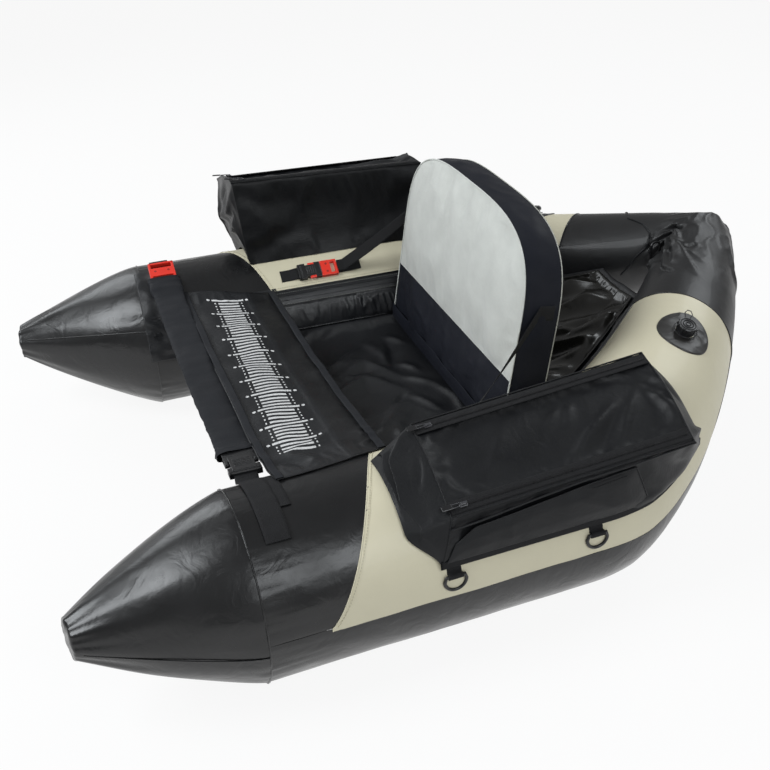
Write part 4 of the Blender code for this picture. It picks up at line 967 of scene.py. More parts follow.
def build_cone(side, name):
    """A nose cone: gathered at its tip disc and puckered along its base seam."""

    def skin(share, k):
        turn = math.radians(3.0 * k)
        drawn = noise.noise(Vector((*polar(3.2, turn), share * 1.4 + side)))
        gather = smooth(0.5, 1.0, share) * 0.0035 * drawn
        shifted = Vector((*polar(1.0, turn), share * 0.6)) * 2.3 + Vector((side * 5.0, 0.0, 0.0))
        broad = 0.0035 * math.sin(math.pi * share) * noise.noise(shifted)
        seam = pucker(share * 0.25, turn, 3.0 + side)
        return nose_point(share, 3.0 * k, gather + broad + seam, side)

    rows = grid([*span(0.0, 0.94, 60), 0.97, 0.985, 0.995, 1.0], range(121), skin)
    rim = rows[-1]
    centre = sum(rim[:-1], Vector()) / 120

    def disc(ring, k):
        shrink, bulge = ring
        spot = Vector((*polar(2.0, FULL_TURN * (k % 120) / 120), shrink * 3 + side))
        dent = 0.0022 * noise.noise(spot) * shrink
        return centre.lerp(rim[k], shrink) - Vector((0.0, bulge + dent, 0.0))

    rows += grid(TIP_DISC, range(121), disc)
    grid_piece(name + "_cone", rows, "black_pvc", [name + "_nose_cone"], wrap=True)


def build_keel(side, name):
    """The black underside, and the fore panel over the shoulder."""
    shares = span(0.0, STERN_SEAM, settings().detail)
    rows = grid(shares, span(WALL_EDGE, 360.0, 90), lambda s, a: cover_point(s, a, side))
    grid_piece(name + "_keel", rows, "black_pvc", [name + "_keel_panel"])
    angles = span(0.0, DECK_EDGE, 70)
    rows = grid(span(0.0, 1.0, 30), angles, lambda u, a: cover_point(deck_front(a) * u, a, side))
    grid_piece(name + "_shoulder", rows, "black_pvc", [name + "_fore_panel"])


def build_deck(side, name):
    """The beige deck panel, lapped over its neighbours, with its rows of stitches."""
    sizes = settings()

    def skin(u, angle):
        first = deck_front(angle) - sizes.seam_width * 0.9
        share = mix(first, STERN_SEAM, u)
        drawn = noise.noise(Vector((angle * 0.35, side, share * 9.0)))
        draw = 0.0007 * drawn * math.exp(-(share - first) * 26)
        lap = mix(0.3, 1.0, smooth(0.0, 0.012, share - first))
        return cover_point(share, angle, side, lap * sizes.bump_lift + draw)

    rows = grid(span(0.0, 1.0, sizes.detail), span(-2.0, DECK_EDGE, 76), skin)
    grid_piece(name + "_deck", rows, "beige_pvc", [name + "_deck_panel"])
    edge = [p + (p - q).normalized() * 0.0003 for p, q in zip(*rows[:2])]
    tube_piece(name + "_deck_edge", edge, 0.0009, "beige_pvc")

    def outward(place):
        centre = axis_point(clamp(tube_share(place.y)))
        return place - Vector((side * centre.x, centre.y, tube_height(0.0)))

    def row(label, line, finish):
        label = f"{name}_deck_{label}_stitch"
        stitches(label, line, outward, finish, pitch=0.0046, length=0.0026, slot="beige_pvc")

    angles, lap = span(1.0, DECK_EDGE, 90), sizes.seam_width * 0.3
    row("front", [hull_point(deck_front(a) - lap, a, 0.0014, side) for a in angles], "beige_thread")
    upper, lower = (span(s, STERN_SEAM - 0.004, 130) for s in (deck_front(DECK_EDGE), 0.02))
    row("upper", [cover_point(s, DECK_EDGE - 2.4, side, 0.0016) for s in upper], "beige_thread")
    row("lower", [cover_point(s, DECK_EDGE + 2.2, side, 0.0016) for s in lower], "seam_thread")


def build_wall(side, name):
    """The inner wall: black cloth below the deck's inner seam, drawn in upright creases."""

    def skin(share, angle):
        place = hull_point(share, angle, 0.0, side)
        below = smooth(151.5, 153.5, angle) * smooth(173.0, 168.0, angle)
        spot = Vector((place.y, angle * 0.0007, 0.0))
        drawn = mix(0.35, 1.0, smooth(-0.06, 0.05, place.y))
        fold = 0.0040 * ridge(spot, 34.0, side) + 0.0024 * ridge(spot, 80.0, side + 4.0)
        fold = fold * below * drawn
        band = smooth(DECK_EDGE + 3, DECK_EDGE + 4, angle) * smooth(151.5, 150.5, angle)
        return cover_point(share, angle, side, 0.0008 + fold + 0.0020 * band)

    shares = span(0.0, STERN_SEAM, settings().detail * 3)
    rows = grid(shares, span(DECK_EDGE - 3, WALL_EDGE + 2, 30), skin)
    grid_piece(name + "_wall", rows, "wall_nylon", [name + "_inner_wall"])
    shares = span(0.0, STERN_SEAM, 160)
    for label, angle, radius in (("upper", 142.5, 0.0007), ("lower", 146.5, 0.0006)):
        line = [cover_point(s, angle, side, 0.0030) for s in shares]
        tube_piece(f"{name}_wall_{label}_line", line, radius, "wall_nylon")

    def outward(place):
        return column(hull_frame(tube_share(place.y), 149.0, 0.0, side), 2)

    line = [cover_point(s, 149.5, side, 0.0032) for s in span(0.0, STRAIGHT_SHARE, 200)]
    stitches(name + "_wall_stitch", line, outward, "seam_thread")
    line = [hull_point(s, WALL_EDGE - 1.0, 0.0012, side) for s in shares]
    tube_piece(name + "_wall_foot_welt", line, 0.0022, "wall_nylon")


def build_stern():
    """The stern cover: one black tube round the apex, gathered hard where it turns."""
    folds = ready_folds(STERN_FOLDS, STERN_ROUND)
    shares = span(STERN_SEAM, 1.0, 100)

    def skin(station, j):
        share, side = station
        angle = 3.0 * (j % 120)
        near = smooth(0.80 if side == LEFT else 0.93, 0.97, share)
        run = (1 - share) * side * STERN_RUN
        ring = Vector((*polar(1.0, math.radians(angle)), 0.0))
        soft = noise.noise(ring * 2.6 + Vector((0.0, 0.0, run * 14.0)))
        sharp = 1 - abs(noise.noise(ring * 3.0 + Vector((5.0, 0.0, run * 22.0 + 2.0)))) * 2.2
        depth = near * (0.0032 * soft + 0.0022 * max(sharp, 0.0) ** 2 - 0.0014)
        for lap in (-360.0, 0.0):
            depth += fold_height(Vector((run, (angle + lap) * STERN_ROUND)), folds)
        return hull_point(share, angle, depth + 0.0004, side)

    stations = [(s, LEFT) for s in shares] + [(s, RIGHT) for s in reversed(shares[:-1])]
    hidden = ["stern_cover", "left_bladder", "right_bladder"]
    rows = grid(stations, range(121), skin)
    finish_cloth(grid_piece("stern", rows, "stern_pvc", hidden, wrap=True))
    line = []
    for spot in resample([Vector((share * 100, angle)) for share, angle in FAR_SEAM], 90):
        share, angle = spot.x / 100, spot.y
        rise = fold_height(Vector(((share - 1) * STERN_RUN, angle * STERN_ROUND)), folds)
        line.append(hull_point(share, angle, rise + 0.0008, RIGHT))
    tube_piece("stern_far_seam", line, 0.0020, "pocket_nylon", slot="black_pvc")


def build_seams(side, name):
    """Welts along the hull's seams."""

    def along(shares, angle, lift):
        return [hull_point(s, angle, lift, side) for s in shares]

    base = [cover_point(0.001, a, side, 0.0004) for a in span(0.0, 357.0, 120)]
    cone = span(0.0, 0.97, 60)
    welts = (
        ("cone_seam", base, 0.0014),
        ("cone_side_seam", [nose_point(s, 152.0, 0.0010, side) for s in cone], 0.0010),
        ("cone_outer_seam", [nose_point(s, -8.0, 0.0010, side) for s in cone], 0.0010),
        ("side_seam", along(span(deck_front(0.0), STERN_SEAM, 120), -2.2, 0.0004), 0.0011),
        ("inner_seam", along(span(0.0, STERN_SEAM, 120), DECK_EDGE, 0.0012), 0.0017),
        ("stern_seam", [hull_point(STERN_SEAM, 3.0 * k, 0.0008, side) for k in range(120)], 0.0013),
    )
    for label, line, radius in welts:
        closed = label in ("cone_seam", "stern_seam")
        tube_piece(f"{name}_{label}", line, radius, "black_pvc", cyclic=closed)


def build_valve(side, name):
    """The valve's welded patch, the rings moulded in its cap and the cap's wire keeper."""

    def apart(share, angle):
        ends = (hull_point(VALVE_SHARE + s * share, VALVE_ANGLE + s * angle) for s in SIDES)
        return line_length([*ends])

    along, round_one = apart(0.005, 0) * 100, apart(0, 1) / 2

    def skin(radius, k):
        x, y = polar(radius, FULL_TURN * (k % 96) / 96)
        rim = smooth(PATCH_RADIUS, 0.0455, radius)
        crease = 0.0010 * ridge(Vector((x, y, 0.0)), 40.0, 3.0) * rim
        share, angle = VALVE_SHARE + x / along, VALVE_ANGLE + y / round_one
        return hull_point(share, angle, 0.0006 + 0.0018 * rim + crease, side)

    rows = grid(span(0.0160, PATCH_RADIUS, 26), range(97), skin)
    grid_piece(name + "_valve_disc", rows, "patch_vinyl", [name + "_valve_patch"], wrap=True)
    seat = hull_frame(VALVE_SHARE, VALVE_ANGLE, 0.0, side)
    cap = name + "_valve_cap"
    rings = (("inner", 0.0042, 0.0186), ("middle", 0.0085, 0.0188), ("outer", 0.0128, 0.0186))
    for label, radius, height in rings:
        ring = [seat @ p for p in circle(radius, span(0.0, FULL_TURN, 41)[:-1], height)]
        tube_piece(f"{cap}_{label}_ring", ring, 0.0011, "valve_rubber", body=cap, cyclic=True)
    bends = ((0.028, 0.004, 0.008), (0.036, 0.0065, 0.011), (0.043, 0.003, 0.012))
    eye = [Vector(p) for p in bends]
    wire = circle(0.0195, span(0.35, FULL_TURN - 0.35, 40), 0.0052)
    wire += [Vector((p.x, -p.y, p.z)) for p in eye] + eye[::-1]
    lean = seat @ Matrix.Rotation(math.radians(90 + 10 * side), 4, "Z")
    wire = [lean @ Vector((side * p.x, p.y, p.z)) for p in wire]
    tether = [name + "_valve_tether"]
    tube_piece(name + "_valve_keeper", wire, 0.0008, "valve_rubber", tether, cyclic=True)


class FLOATTUBE_OT_seat(bpy.types.Operator):
    """Builds the loose seat pan and the glossy sheet crumpled in the bay behind it"""

    bl_idname = "float_tube.seat"
    bl_label = "Seat pan and bay liner"

    def execute(self, context):
        build_pan()
        build_liner()
        return {"FINISHED"}


def pan_point(share, across_share, lift):
    """A point of the seat pan, which sags between the two walls' lower edges."""
    edge = hull_point(share, WALL_EDGE, LAY_GAP)
    sag = PAN_SAG * (1 - across_share**2)
    return Vector((edge.x * across_share, edge.y, edge.z - sag + lift))


def build_pan():
    """The seat pan, slack between its seams, and the lip at its front."""

    def skin(a, share):
        place = pan_point(share, a, 0.0)
        inside = (1 - a**4) * smooth(PAN_FRONT_Y, -0.14, place.y)
        bent = place + Vector((0.0, 0.4 * place.x, 0.0))
        slack = 0.008 * wave(bent, 8.0, 3.0) + 0.004 * (ridge(bent, 8.0, 6.0) - 0.5)
        place.z += inside * slack
        return place

    front = tube_share(PAN_FRONT_Y)
    rows = grid(span(-1.0, 1.0, 96), span(front, PAN_END, 122), skin)
    pan = grid_piece("seat_pan_cloth", rows, "pan_nylon", ["seat_pan"], pins=edge_pins(0.012))
    settle(pan, grow=0.03, cap=0.010, bend=0.03, gravity=0.1)
    folds = ready_folds(PAN_FOLDS)
    for vert in pan.data.vertices:
        inside = smooth(0.0, 0.04, PAN_HALF - abs(vert.co.x))
        vert.co.z += inside * 0.9 * fold_height(vert.co.xy, folds)
    finish_cloth(pan, -0.0012)
    edge = [pan_point(front, a, -0.001) for a in span(-1.0, 1.0, 60)]
    lip = tube_piece("seat_pan_lip", edge, 0.0042, "pan_nylon")
    flat_size(rows)


def build_liner():
    """The glossy sheet that lies crumpled behind the backrest."""
    start, end = LINER_SPAN

    def skin(a, share):
        place = pan_point(share, a, 0.004)
        turn = 3 * math.pi * (a * 0.5 + 0.5) + 2.0 * wave(place, 6.0, 2.0)
        fold = 0.016 * abs(math.sin(turn))
        edge = smooth(LINER_HALF, 0.7, abs(a)) * smooth(start, start + 0.03, share)
        edge = edge * smooth(end, end - 0.07, share)
        drawn = Vector((place.x - place.y * 0.5, place.y * 0.35, 0.0))
        creases = 0.016 * ridge(drawn, 12.0, 1.0)
        place.z += edge * (fold * 0.6 + creases + 0.007 * ridge(drawn, 29.0, 3.0))
        return place

    rows = grid(span(-LINER_HALF, LINER_HALF, 71), span(start, end, 61), skin)
    liner = grid_piece("bay_liner_sheet", rows, "liner_film", ["bay_liner"], pins=edge_pins(0.02))
    settle(liner, grow=0.04, cap=0.009, bend=0.02, gravity=0.1)
    finish_cloth(liner, 0.0006)
    flat_size(rows)


class FLOATTUBE_OT_backrest(bpy.types.Operator):
    """Builds the backrest's panels, gusset, rear cloth and piping"""

    bl_idname = "float_tube.backrest"
    bl_label = "Backrest"

    def execute(self, context):
        build_backrest()
        return {"FINISHED"}


def back_frame():
    """The backrest's frame at its foot: X across, Y to the rear, Z up its slope."""
    share = tube_share(BACK_BASE_Y)
    base = pan_point(share, BACK_HALF / pan_point(share, 1.0, 0.0).x, LAY_GAP)
    lean = Matrix.Rotation(-math.radians(BACK_RECLINE), 4, "X")
    return Matrix.Translation((0.0, base.y, base.z)) @ lean


def back_edge(depth, low=0.0):
    """Points round the backrest: along its foot, up one side, over the top and down."""
    slope = math.tan(math.radians(BACK_RECLINE)) + BACK_FOOT_LIFT / BACK_DEPTH
    foot = max(low, depth * slope)
    power = 2 / BACK_TOP_POWER
    arch = [Vector((BACK_HALF, depth, foot))]
    for k in range(121):
        x, z = polar(1.0, math.pi * k / 120)
        rise = (BACK_HEIGHT - BACK_SHOULDER) * abs(z) ** power
        reach = BACK_HALF * math.copysign(abs(x) ** power, x)
        arch.append(Vector((reach, depth, BACK_SHOULDER + rise)))
    arch.append(Vector((-BACK_HALF, depth, foot)))
    return resample([arch[-1], arch[0]], BACK_STEPS) + resample(arch, 3 * BACK_STEPS)


def back_panel(name, outline, finish, place, swell, replaces=(), pins=None):
    """A padded panel in an outline; swell(point, rim) moves each point back, rim being 1 there."""
    rows = []
    half = BACK_STEPS / 2
    for i, row in enumerate(square_rings(outline)):
        rims = [max(abs(i / half - 1), abs(j / half - 1)) for j in range(len(row))]
        rows.append([place @ (p + Vector((0.0, swell(p, r), 0.0))) for p, r in zip(row, rims)])
    panel = grid_piece(name, rows, finish, replaces, "backrest", pins=pins)
    if pins:
        settle(panel, grow=0.012, cap=0.007, bend=0.08, pressure=0.8)
    finish_cloth(panel)


def build_backrest():
    """The backrest's padded panels on its four sides."""
    place = back_frame()
    ends = ((-1, 0.0), (1, 0.0), (1, BACK_BAND), (-1, BACK_BAND), (-1, 0.0))
    corners = [Vector((side * BACK_HALF, 0.0, z)) for side, z in ends]
    band = [p for pair in zip(corners, corners[1:]) for p in resample(pair, BACK_STEPS)]
    panels = (
        ("backrest_face", back_edge(0.0, BACK_BAND), "grey_cloth", "front", 0.0036, 24.0, ()),
        ("backrest_lower", band, "gusset_nylon", "lower", 0.0016, 18.0, ready_folds(BACK_FOLDS)),
    )
    for name, outline, finish, node, depth, waves, folds in panels:

        def front_swell(p, rim):
            crown = BACK_CROWN * 0.9 * (1 - rim**2.4)
            upright = noise.noise(Vector((p.x * waves, 0.0, p.z * waves * 0.3 + 5.0)))
            crown += depth * upright * (1 - rim**8)
            return -(crown + fold_height(p.xz, folds) * (1 - rim**8))

        node = f"backrest_{node}_panel"
        back_panel(name, outline, finish, place, front_swell, [node], edge_pins(0.01))
    rows = []
    for u in span(0.0, 1.0, 15):
        ring = back_edge(u * BACK_DEPTH)
        middle = Vector((0.0, u * BACK_DEPTH, BACK_HEIGHT / 2))
        row = []
        for p in (*ring, ring[0]):
            crease = 0.0030 * (ridge(p, 17.0, 5.0) - 0.4) + 0.0026 * wave(p, 24.0, 3.0)
            swell = math.sin(math.pi * u) * (0.0035 + crease) * smooth(0.02, 0.06, p.z)
            row.append(place @ (p + (p - middle).normalized() * swell))
        rows.append(row)
    hidden = ["backrest_cover", "backrest_foam"]
    gusset = grid_piece("backrest_gusset", rows, "gusset_nylon", hidden, "backrest", wrap=True)
    finish_cloth(gusset)

    def rear_swell(p, rim):
        return 0.004 * (1 - rim**3) + 0.0018 * wave(p, 20.0, 8.0) * (1 - rim**6)

    back_panel("backrest_rear", back_edge(BACK_DEPTH), "gusset_nylon", place, rear_swell)
    build_backrest_trim(place)


def build_backrest_trim(place):
    """Piping round both edges, the seam between the two panels and the folded hem at the foot."""
    front, rear = (back_edge(depth)[BACK_STEPS:] for depth in (0.0, BACK_DEPTH))
    seam = [Vector((x, 0.0, BACK_BAND)) for x in span(-BACK_HALF, BACK_HALF, 30)]
    trims = (
        ("front_piping", front, -0.0008, 0.0014, "grey_cloth"),
        ("rear_piping", rear, 0.0004, 0.0010, "pale_piping"),
        ("panel_seam", seam, -0.0006, 0.0011, "gusset_nylon"),
    )
    for label, line, shift, radius, finish in trims:
        line = [place @ (p + Vector((0.0, shift, 0.0))) for p in line]
        tube_piece("backrest_" + label, line, radius, finish, body="backrest")

    def skin(z, x):
        spot = Vector((x, 0.0, z))
        out = 0.0040 + 0.0030 * (1 - (abs(x) / BACK_HALF) ** 4)
        out += 0.0030 * smooth(0.0, 0.02, z) * (1 + wave(spot, 20.0, 4.0))
        return place @ Vector((x, -out, z + 0.002 * wave(spot, 9.0, 1.0) * (z / 0.03)))

    half = BACK_HALF - 0.004
    rows = grid(span(0.001, 0.030, 9), span(-half, half, 80), skin)
    finish_cloth(grid_piece("backrest_hem", rows, "gusset_nylon", body="backrest"), 0.0012)


class FLOATTUBE_OT_straps(bpy.types.Operator):
    """Builds the backrest straps and the wide strap across the front"""

    bl_idname = "float_tube.straps"
    bl_label = "Straps"

    def execute(self, context):
        for side in SIDES:
            build_backrest_strap(side, NAMES[side])
        build_cross_strap()
        for side in reversed(SIDES):
            build_cross_belt(side)
        build_flap()
        return {"FINISHED"}


def strap_place(here):
    """A ribbon's place on a frame: its point, its width direction and its outward direction."""
    return here.translation, column(here, 1), column(here, 2)


def build_backrest_strap(side, name):
    """A strap from its buckle on the pontoon to the backrest's side."""
    here = lying_frame(STRAP_BUCKLE_Y, STRAP_ANGLE, side, LAY_GAP)
    forward, wide, outward = (column(here, k) for k in (0, 1, 2))
    start = here @ Vector((TONGUE_BASE + LAY_GAP, 0.0, BUCKLE_HEIGHT - 0.0006))
    seat = back_frame()
    reach = side * (BACK_HALF + LAY_GAP + 0.0018)
    top, end = (seat @ Vector((reach, y, STRAP_TOP)) for y in STRAP_SEWN)
    inward = column(seat, 0) * -side
    tall = facing(column(seat, 2), wide)
    lead = start + forward * STRAP_LEAD
    tail = []
    for x in span(0.030, 0.082, 14):
        curl = 0.0016 + 0.0035 * smooth(0.055, 0.082, x)
        tail.append((here @ Vector((x, 0.0, curl)), wide, outward))
    tongue = name + "_strap_tongue"
    hidden = [name + "_strap_tail"]
    ribbon(name + "_strap_end", tail, STRAP_WIDTH, 0.0016, "webbing", hidden, tongue)
    build_socket(name + "_strap_socket", here, 0.034, 1.0, [name + "_strap_buckle"])
    build_tongue(tongue, here, 0.034, 1.0, "red_plastic")
    foot = []
    for y in span(-0.142, STRAP_BUCKLE_Y - BUCKLE_LENGTH + 0.006, 26):
        rise = 0.0012 + 0.0030 * smooth(-0.125, -0.108, y)
        foot.append(strap_place(lying_frame(y, STRAP_ANGLE, side, rise)))
    ribbon(name + "_strap_foot", foot, STRAP_WIDTH, 0.0022, "webbing", [name + "_strap_tab"])
    places = [(start.lerp(lead, u), wide, outward) for u in (0.0, 0.4, 0.8)]
    for u in span(0.0, 1.0, 70):
        sag = Vector((0.0, 0.0, -0.003 * math.sin(math.pi * u)))
        ways = (wide.lerp(tall, u).normalized(), outward.lerp(inward, u).normalized())
        places.append((lead.lerp(top, u) + sag, *ways))
    places += [(top.lerp(end, u), tall, inward) for u in span(0.1, 1.0, 8)]
    hidden = [name + "_backrest_strap"]
    strap = ribbon(name + "_backrest_webbing", places, STRAP_WIDTH, 0.0014, "webbing", hidden, None)
    tuple(top)
    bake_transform(strap)


def left_cross_frame():
    """The left buckle hangs free between the pontoons, its mouth towards the middle."""
    lean = math.radians(LEFT_BUCKLE_LEAN)
    height = tube_height(0.0) + TUBE_RADIUS - LEFT_BUCKLE_DROP
    edge = tube_height(0.0) - height
    angle = 180 + math.degrees(math.asin(edge / TUBE_RADIUS))
    x = hull_point(tube_share(CROSS_Y), angle).x - BUCKLE_LENGTH * CROSS_SCALE - LEFT_BUCKLE_GAP
    forward = Vector((-math.cos(lean), 0.0, -math.sin(lean)))
    wide = Vector((0.0, -1.0, 0.0))
    return frame_at((x, CROSS_Y, height), forward, wide, forward.cross(wide))


def cross_frames():
    right = lying_frame(CROSS_Y, RIGHT_BUCKLE_ANGLE, RIGHT, LAY_GAP, over=True)
    return right, left_cross_frame()


def build_cross_strap():
    """The wide sleeve between the two buckles, the buckles and their tongues."""
    right, left = cross_frames()
    mid = BUCKLE_HEIGHT * CROSS_SCALE / 2
    start = right @ Vector((-BUCKLE_LENGTH * CROSS_SCALE - LAY_GAP, 0.0, mid))
    end = left @ Vector((TONGUE_BASE * CROSS_SCALE + LAY_GAP, 0.0, mid))
    handle = (end - start).length * CROSS_HANDLE
    second, third = start - column(right, 0) * handle, end + column(left, 0) * handle
    wide_first = column(right, 1)
    wide_last = facing(column(left, 1), wide_first)
    start, end = right @ Vector((-0.006, 0.0, mid)), left @ Vector((0.012, 0.0, mid))
    path = (start, second, third, end)
    columns = []
    for u in span(0.0, 1.0, 220):
        place = cubic(u, *path)
        wide = wide_first.lerp(wide_last, u).normalized()
        thick = facing(cubic_way(u, *path).cross(wide).normalized(), UP)
        over = max(smooth(0.14, 0.07, u), smooth(0.91, 0.96, u))
        half, deep = mix(0.0285, 0.0318, over), mix(0.0040, 0.0082, over)
        ring = []
        for k in range(25):
            x, z = polar(1.0, FULL_TURN * (k % 24) / 24)
            x, z = (math.copysign(abs(c) ** 0.55, c) for c in (x, z))
            ruck = 0.0013 * noise.noise(Vector((u * 26.0, x * 1.2, z))) * (1 + 0.8 * over)
            ruck += 0.0010 * noise.noise(Vector((u * 70.0, x * 0.8, z))) * abs(x)
            ring.append(place + wide * (x * (half + ruck)) + thick * (z * (deep + ruck)))
        columns.append(ring)
    rows = [list(row) for row in zip(*columns)]
    hidden = ["cross_strap", "right_cross_socket"]
    sleeve = grid_piece("cross_sleeve", rows, "sleeve_nylon", hidden, wrap=True)
    tuple(start)
    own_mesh(sleeve)
    build_tongue("right_cross_tongue", right, CROSS_BUCKLE, CROSS_SCALE, "red_plastic")
    build_tongue("left_cross_tongue", left, CROSS_BUCKLE, CROSS_SCALE, "black_plastic")
    build_socket("left_cross_buckle", left, CROSS_BUCKLE, CROSS_SCALE, ["left_cross_socket"])


def build_cross_belt(side):
    """The flat belt from a cross buckle over its pontoon, and the left one's loose tail."""
    right, left = cross_frames()
    share = tube_share(CROSS_Y)
    low, high = (66.0, 91.0) if side == RIGHT else (57.0, 127.0)
    behind = Vector((-BUCKLE_LENGTH * CROSS_SCALE + 0.006, 0.0, BUCKLE_HEIGHT * CROSS_SCALE / 2))
    begin = right @ Vector((0.031, 0.0, 0.006)) if side == RIGHT else left @ behind
    places = []
    for angle in span(high, low, 50):
        rise = 0.0024 + 0.0012 * wave(Vector((angle, 0.0, 0.0)), 0.13, 2.0)
        places.append(strap_place(hull_frame(share, angle, rise, side)))
    first, *ways = places[0]
    lead = [(begin.lerp(first, u), *ways) for u in span(0.0, 0.92, 12)]
    name = NAMES[side] + "_cross_"
    ribbon(name + "belt", lead + places, 0.036, 0.0022, "webbing", [name + "webbing"])
    if side == LEFT:
        tail = [strap_place(hull_frame(share + 0.012, a, 0.0016)) for a in span(128.0, 78.0, 40)]
        ribbon(name + "belt_tail", tail, 0.040, 0.0014, "webbing")


def mirrored(boxes):
    """Boxes and their mirror images across Y."""
    return [((a, -e, c), (d, -b, f)) for (a, b, c), (d, e, f) in boxes] + list(boxes)


def build_tongue(name, place, width, scale, finish):
    """A buckle's tongue: a slotted base with two dots, and two prongs that straddle the sleeve."""
    half, deep, reach = width / 2, BUCKLE_HEIGHT * scale, TONGUE_BASE * scale
    rails = (
        ((0.002, half - 0.0050, 0.001), (reach - 0.001, half, deep - 0.001)),
        ((-0.022, half - 0.0050, 0.0035), (0.004, half, deep - 0.0010)),
        ((-0.024, half - 0.006, 0.0045), (-0.016, half + 0.0008, deep - 0.0020)),
    )
    boxes = [
        ((0.001, -half, 0.0015), (reach * 0.60, half, deep - 0.0005)),
        ((reach - 0.0046, -half, 0.001), (reach, half, deep - 0.001)),
        *mirrored(rails),
    ]
    boxes = [(low, high, place) for low, high in boxes]
    boxes_piece(name + "_body", boxes, finish, [name], name, bevel=0.0008)
    for label, sign in (("a", -1), ("b", 1)):
        dot = place @ Vector((reach * 0.36, sign * half * 0.52, deep - 0.0004))
        ring = [dot + place.to_3x3() @ p for p in circle(0.0017, span(0.0, 5.9, 16))]
        tube_piece(f"{name}_dot_{label}", ring, 0.0005, "black_plastic", body=name, cyclic=True)


def build_socket(name, place, width, scale, replaces):
    """A buckle's socket: a hollow shell with open sides, ribs on top and a bar for its webbing."""
    half, deep, long = width / 2, BUCKLE_HEIGHT * scale, BUCKLE_LENGTH * scale
    core = half * 0.74
    rail = ((-long, half - 0.0040 * scale, 0.0014), (-long * 0.80, half, deep - 0.0016))
    boxes = [
        ((-long * 0.86, -core, 0.0008), (-0.001, core, deep)),
        ((-0.012 * scale, -half, 0.0012), (0.0, half, deep - 0.0008)),
        ((-long * 0.90, -half, 0.0012), (-long * 0.66, half, deep - 0.0008)),
        ((-long, -half, 0.0014), (-long + 0.0042 * scale, half, deep - 0.0016)),
        *mirrored([rail]),
    ]
    rib = core * 0.72
    for k in range(5):
        x = -long * 0.28 - 0.0042 * scale * k
        boxes.append(((x, -rib, deep - 0.0004), (x + 0.0018 * scale, rib, deep + 0.0007)))
    boxes = [(low, high, place) for low, high in boxes]
    boxes_piece(name, boxes, "black_plastic", replaces, bevel=0.0009)


def build_flap():
    """The crumpled flap of cloth under the far buckle, beside the cone's base seam."""

    def skin(share, angle):
        spot = Vector((share * 20.0, angle * 0.06, 3.0))
        crumple = 0.0030 * (1 - abs(noise.noise(spot * 1.7)) * 2)
        lift = 0.0032 + 0.0040 * noise.noise(spot) + crumple
        ahead = Vector((0.0, min(share, 0.0), 0.0))
        return hull_point(clamp(share), angle, max(lift, 0.0018), RIGHT) + ahead

    rows = grid(span(-0.010, 0.055, 13), span(96.0, 176.0, 50), skin)
    finish_cloth(grid_piece("right_cross_flap", rows, "pan_nylon"), 0.0010)


class FLOATTUBE_OT_pockets(bpy.types.Operator):
    """Builds the two zipped armrest pockets"""

    bl_idname = "float_tube.pockets"
    bl_label = "Armrest pockets"

    def execute(self, context):
        for side in SIDES:
            build_pocket(side, NAMES[side] + "_pocket")
            for edge in ("inner", "outer"):
                build_zip(side, edge)
            for end in ("front", "rear"):
                build_ring_tab(side, end)
        return {"FINISHED"}


def pocket_tops(side):
    """The ends of the pocket's two top edges: inner front, inner rear, outer front, outer rear."""
    (front, rear), rises = POCKETS[side][:2]
    turns = (math.radians(a) for a in POCKET_TOP_ANGLES)
    inner, outer = (side * (BEND.x + TUBE_RADIUS * math.cos(t)) for t in turns)
    top = tube_height(0.0) + TUBE_RADIUS
    places = ((inner, front), (inner, rear), (outer, front), (outer, rear))
    return [Vector((x, y, top + rise)) for (x, y), rise in zip(places, rises)]


def hem_tuck(u, angle):
    """How far the pocket's lower front corner is tucked back, as a share of the tube."""
    return 0.036 * (1 - u) ** 16 * smooth(42.0, POCKET_HEM_ANGLE, angle)


def pocket_section(side, u):
    """Points round the pocket at one station: inner foot, inner top edge, lid, outer edge, hem."""
    _, _, foot_y, end, heel = POCKETS[side]
    share = mix(tube_share(foot_y), end, u)
    inner_front, inner_rear, outer_front, outer_rear = pocket_tops(side)
    a, b = inner_front.lerp(inner_rear, u), outer_front.lerp(outer_rear, u)
    foot = hull_point(share, heel, 0.0026, side)
    tucked = share + hem_tuck(u, POCKET_HEM_ANGLE)
    hem = hull_point(tucked, POCKET_HEM_ANGLE, POCKET_HEM_LIFT + 0.001, side)
    inner, lid, outer = POCKET_PARTS
    points = [foot.lerp(a, k / inner) for k in range(inner)]
    for v in (k / lid for k in range(lid)):
        points.append(a.lerp(b, v) + UP * (POCKET_CROWN * math.sin(math.pi * v) ** 1.3))
    outward = Vector((side, 0.0, 0.0))
    for k in range(outer + 1):
        points.append(b.lerp(hem, k / outer) + outward * 0.003 * math.sin(math.pi * k / outer))
    return points, share


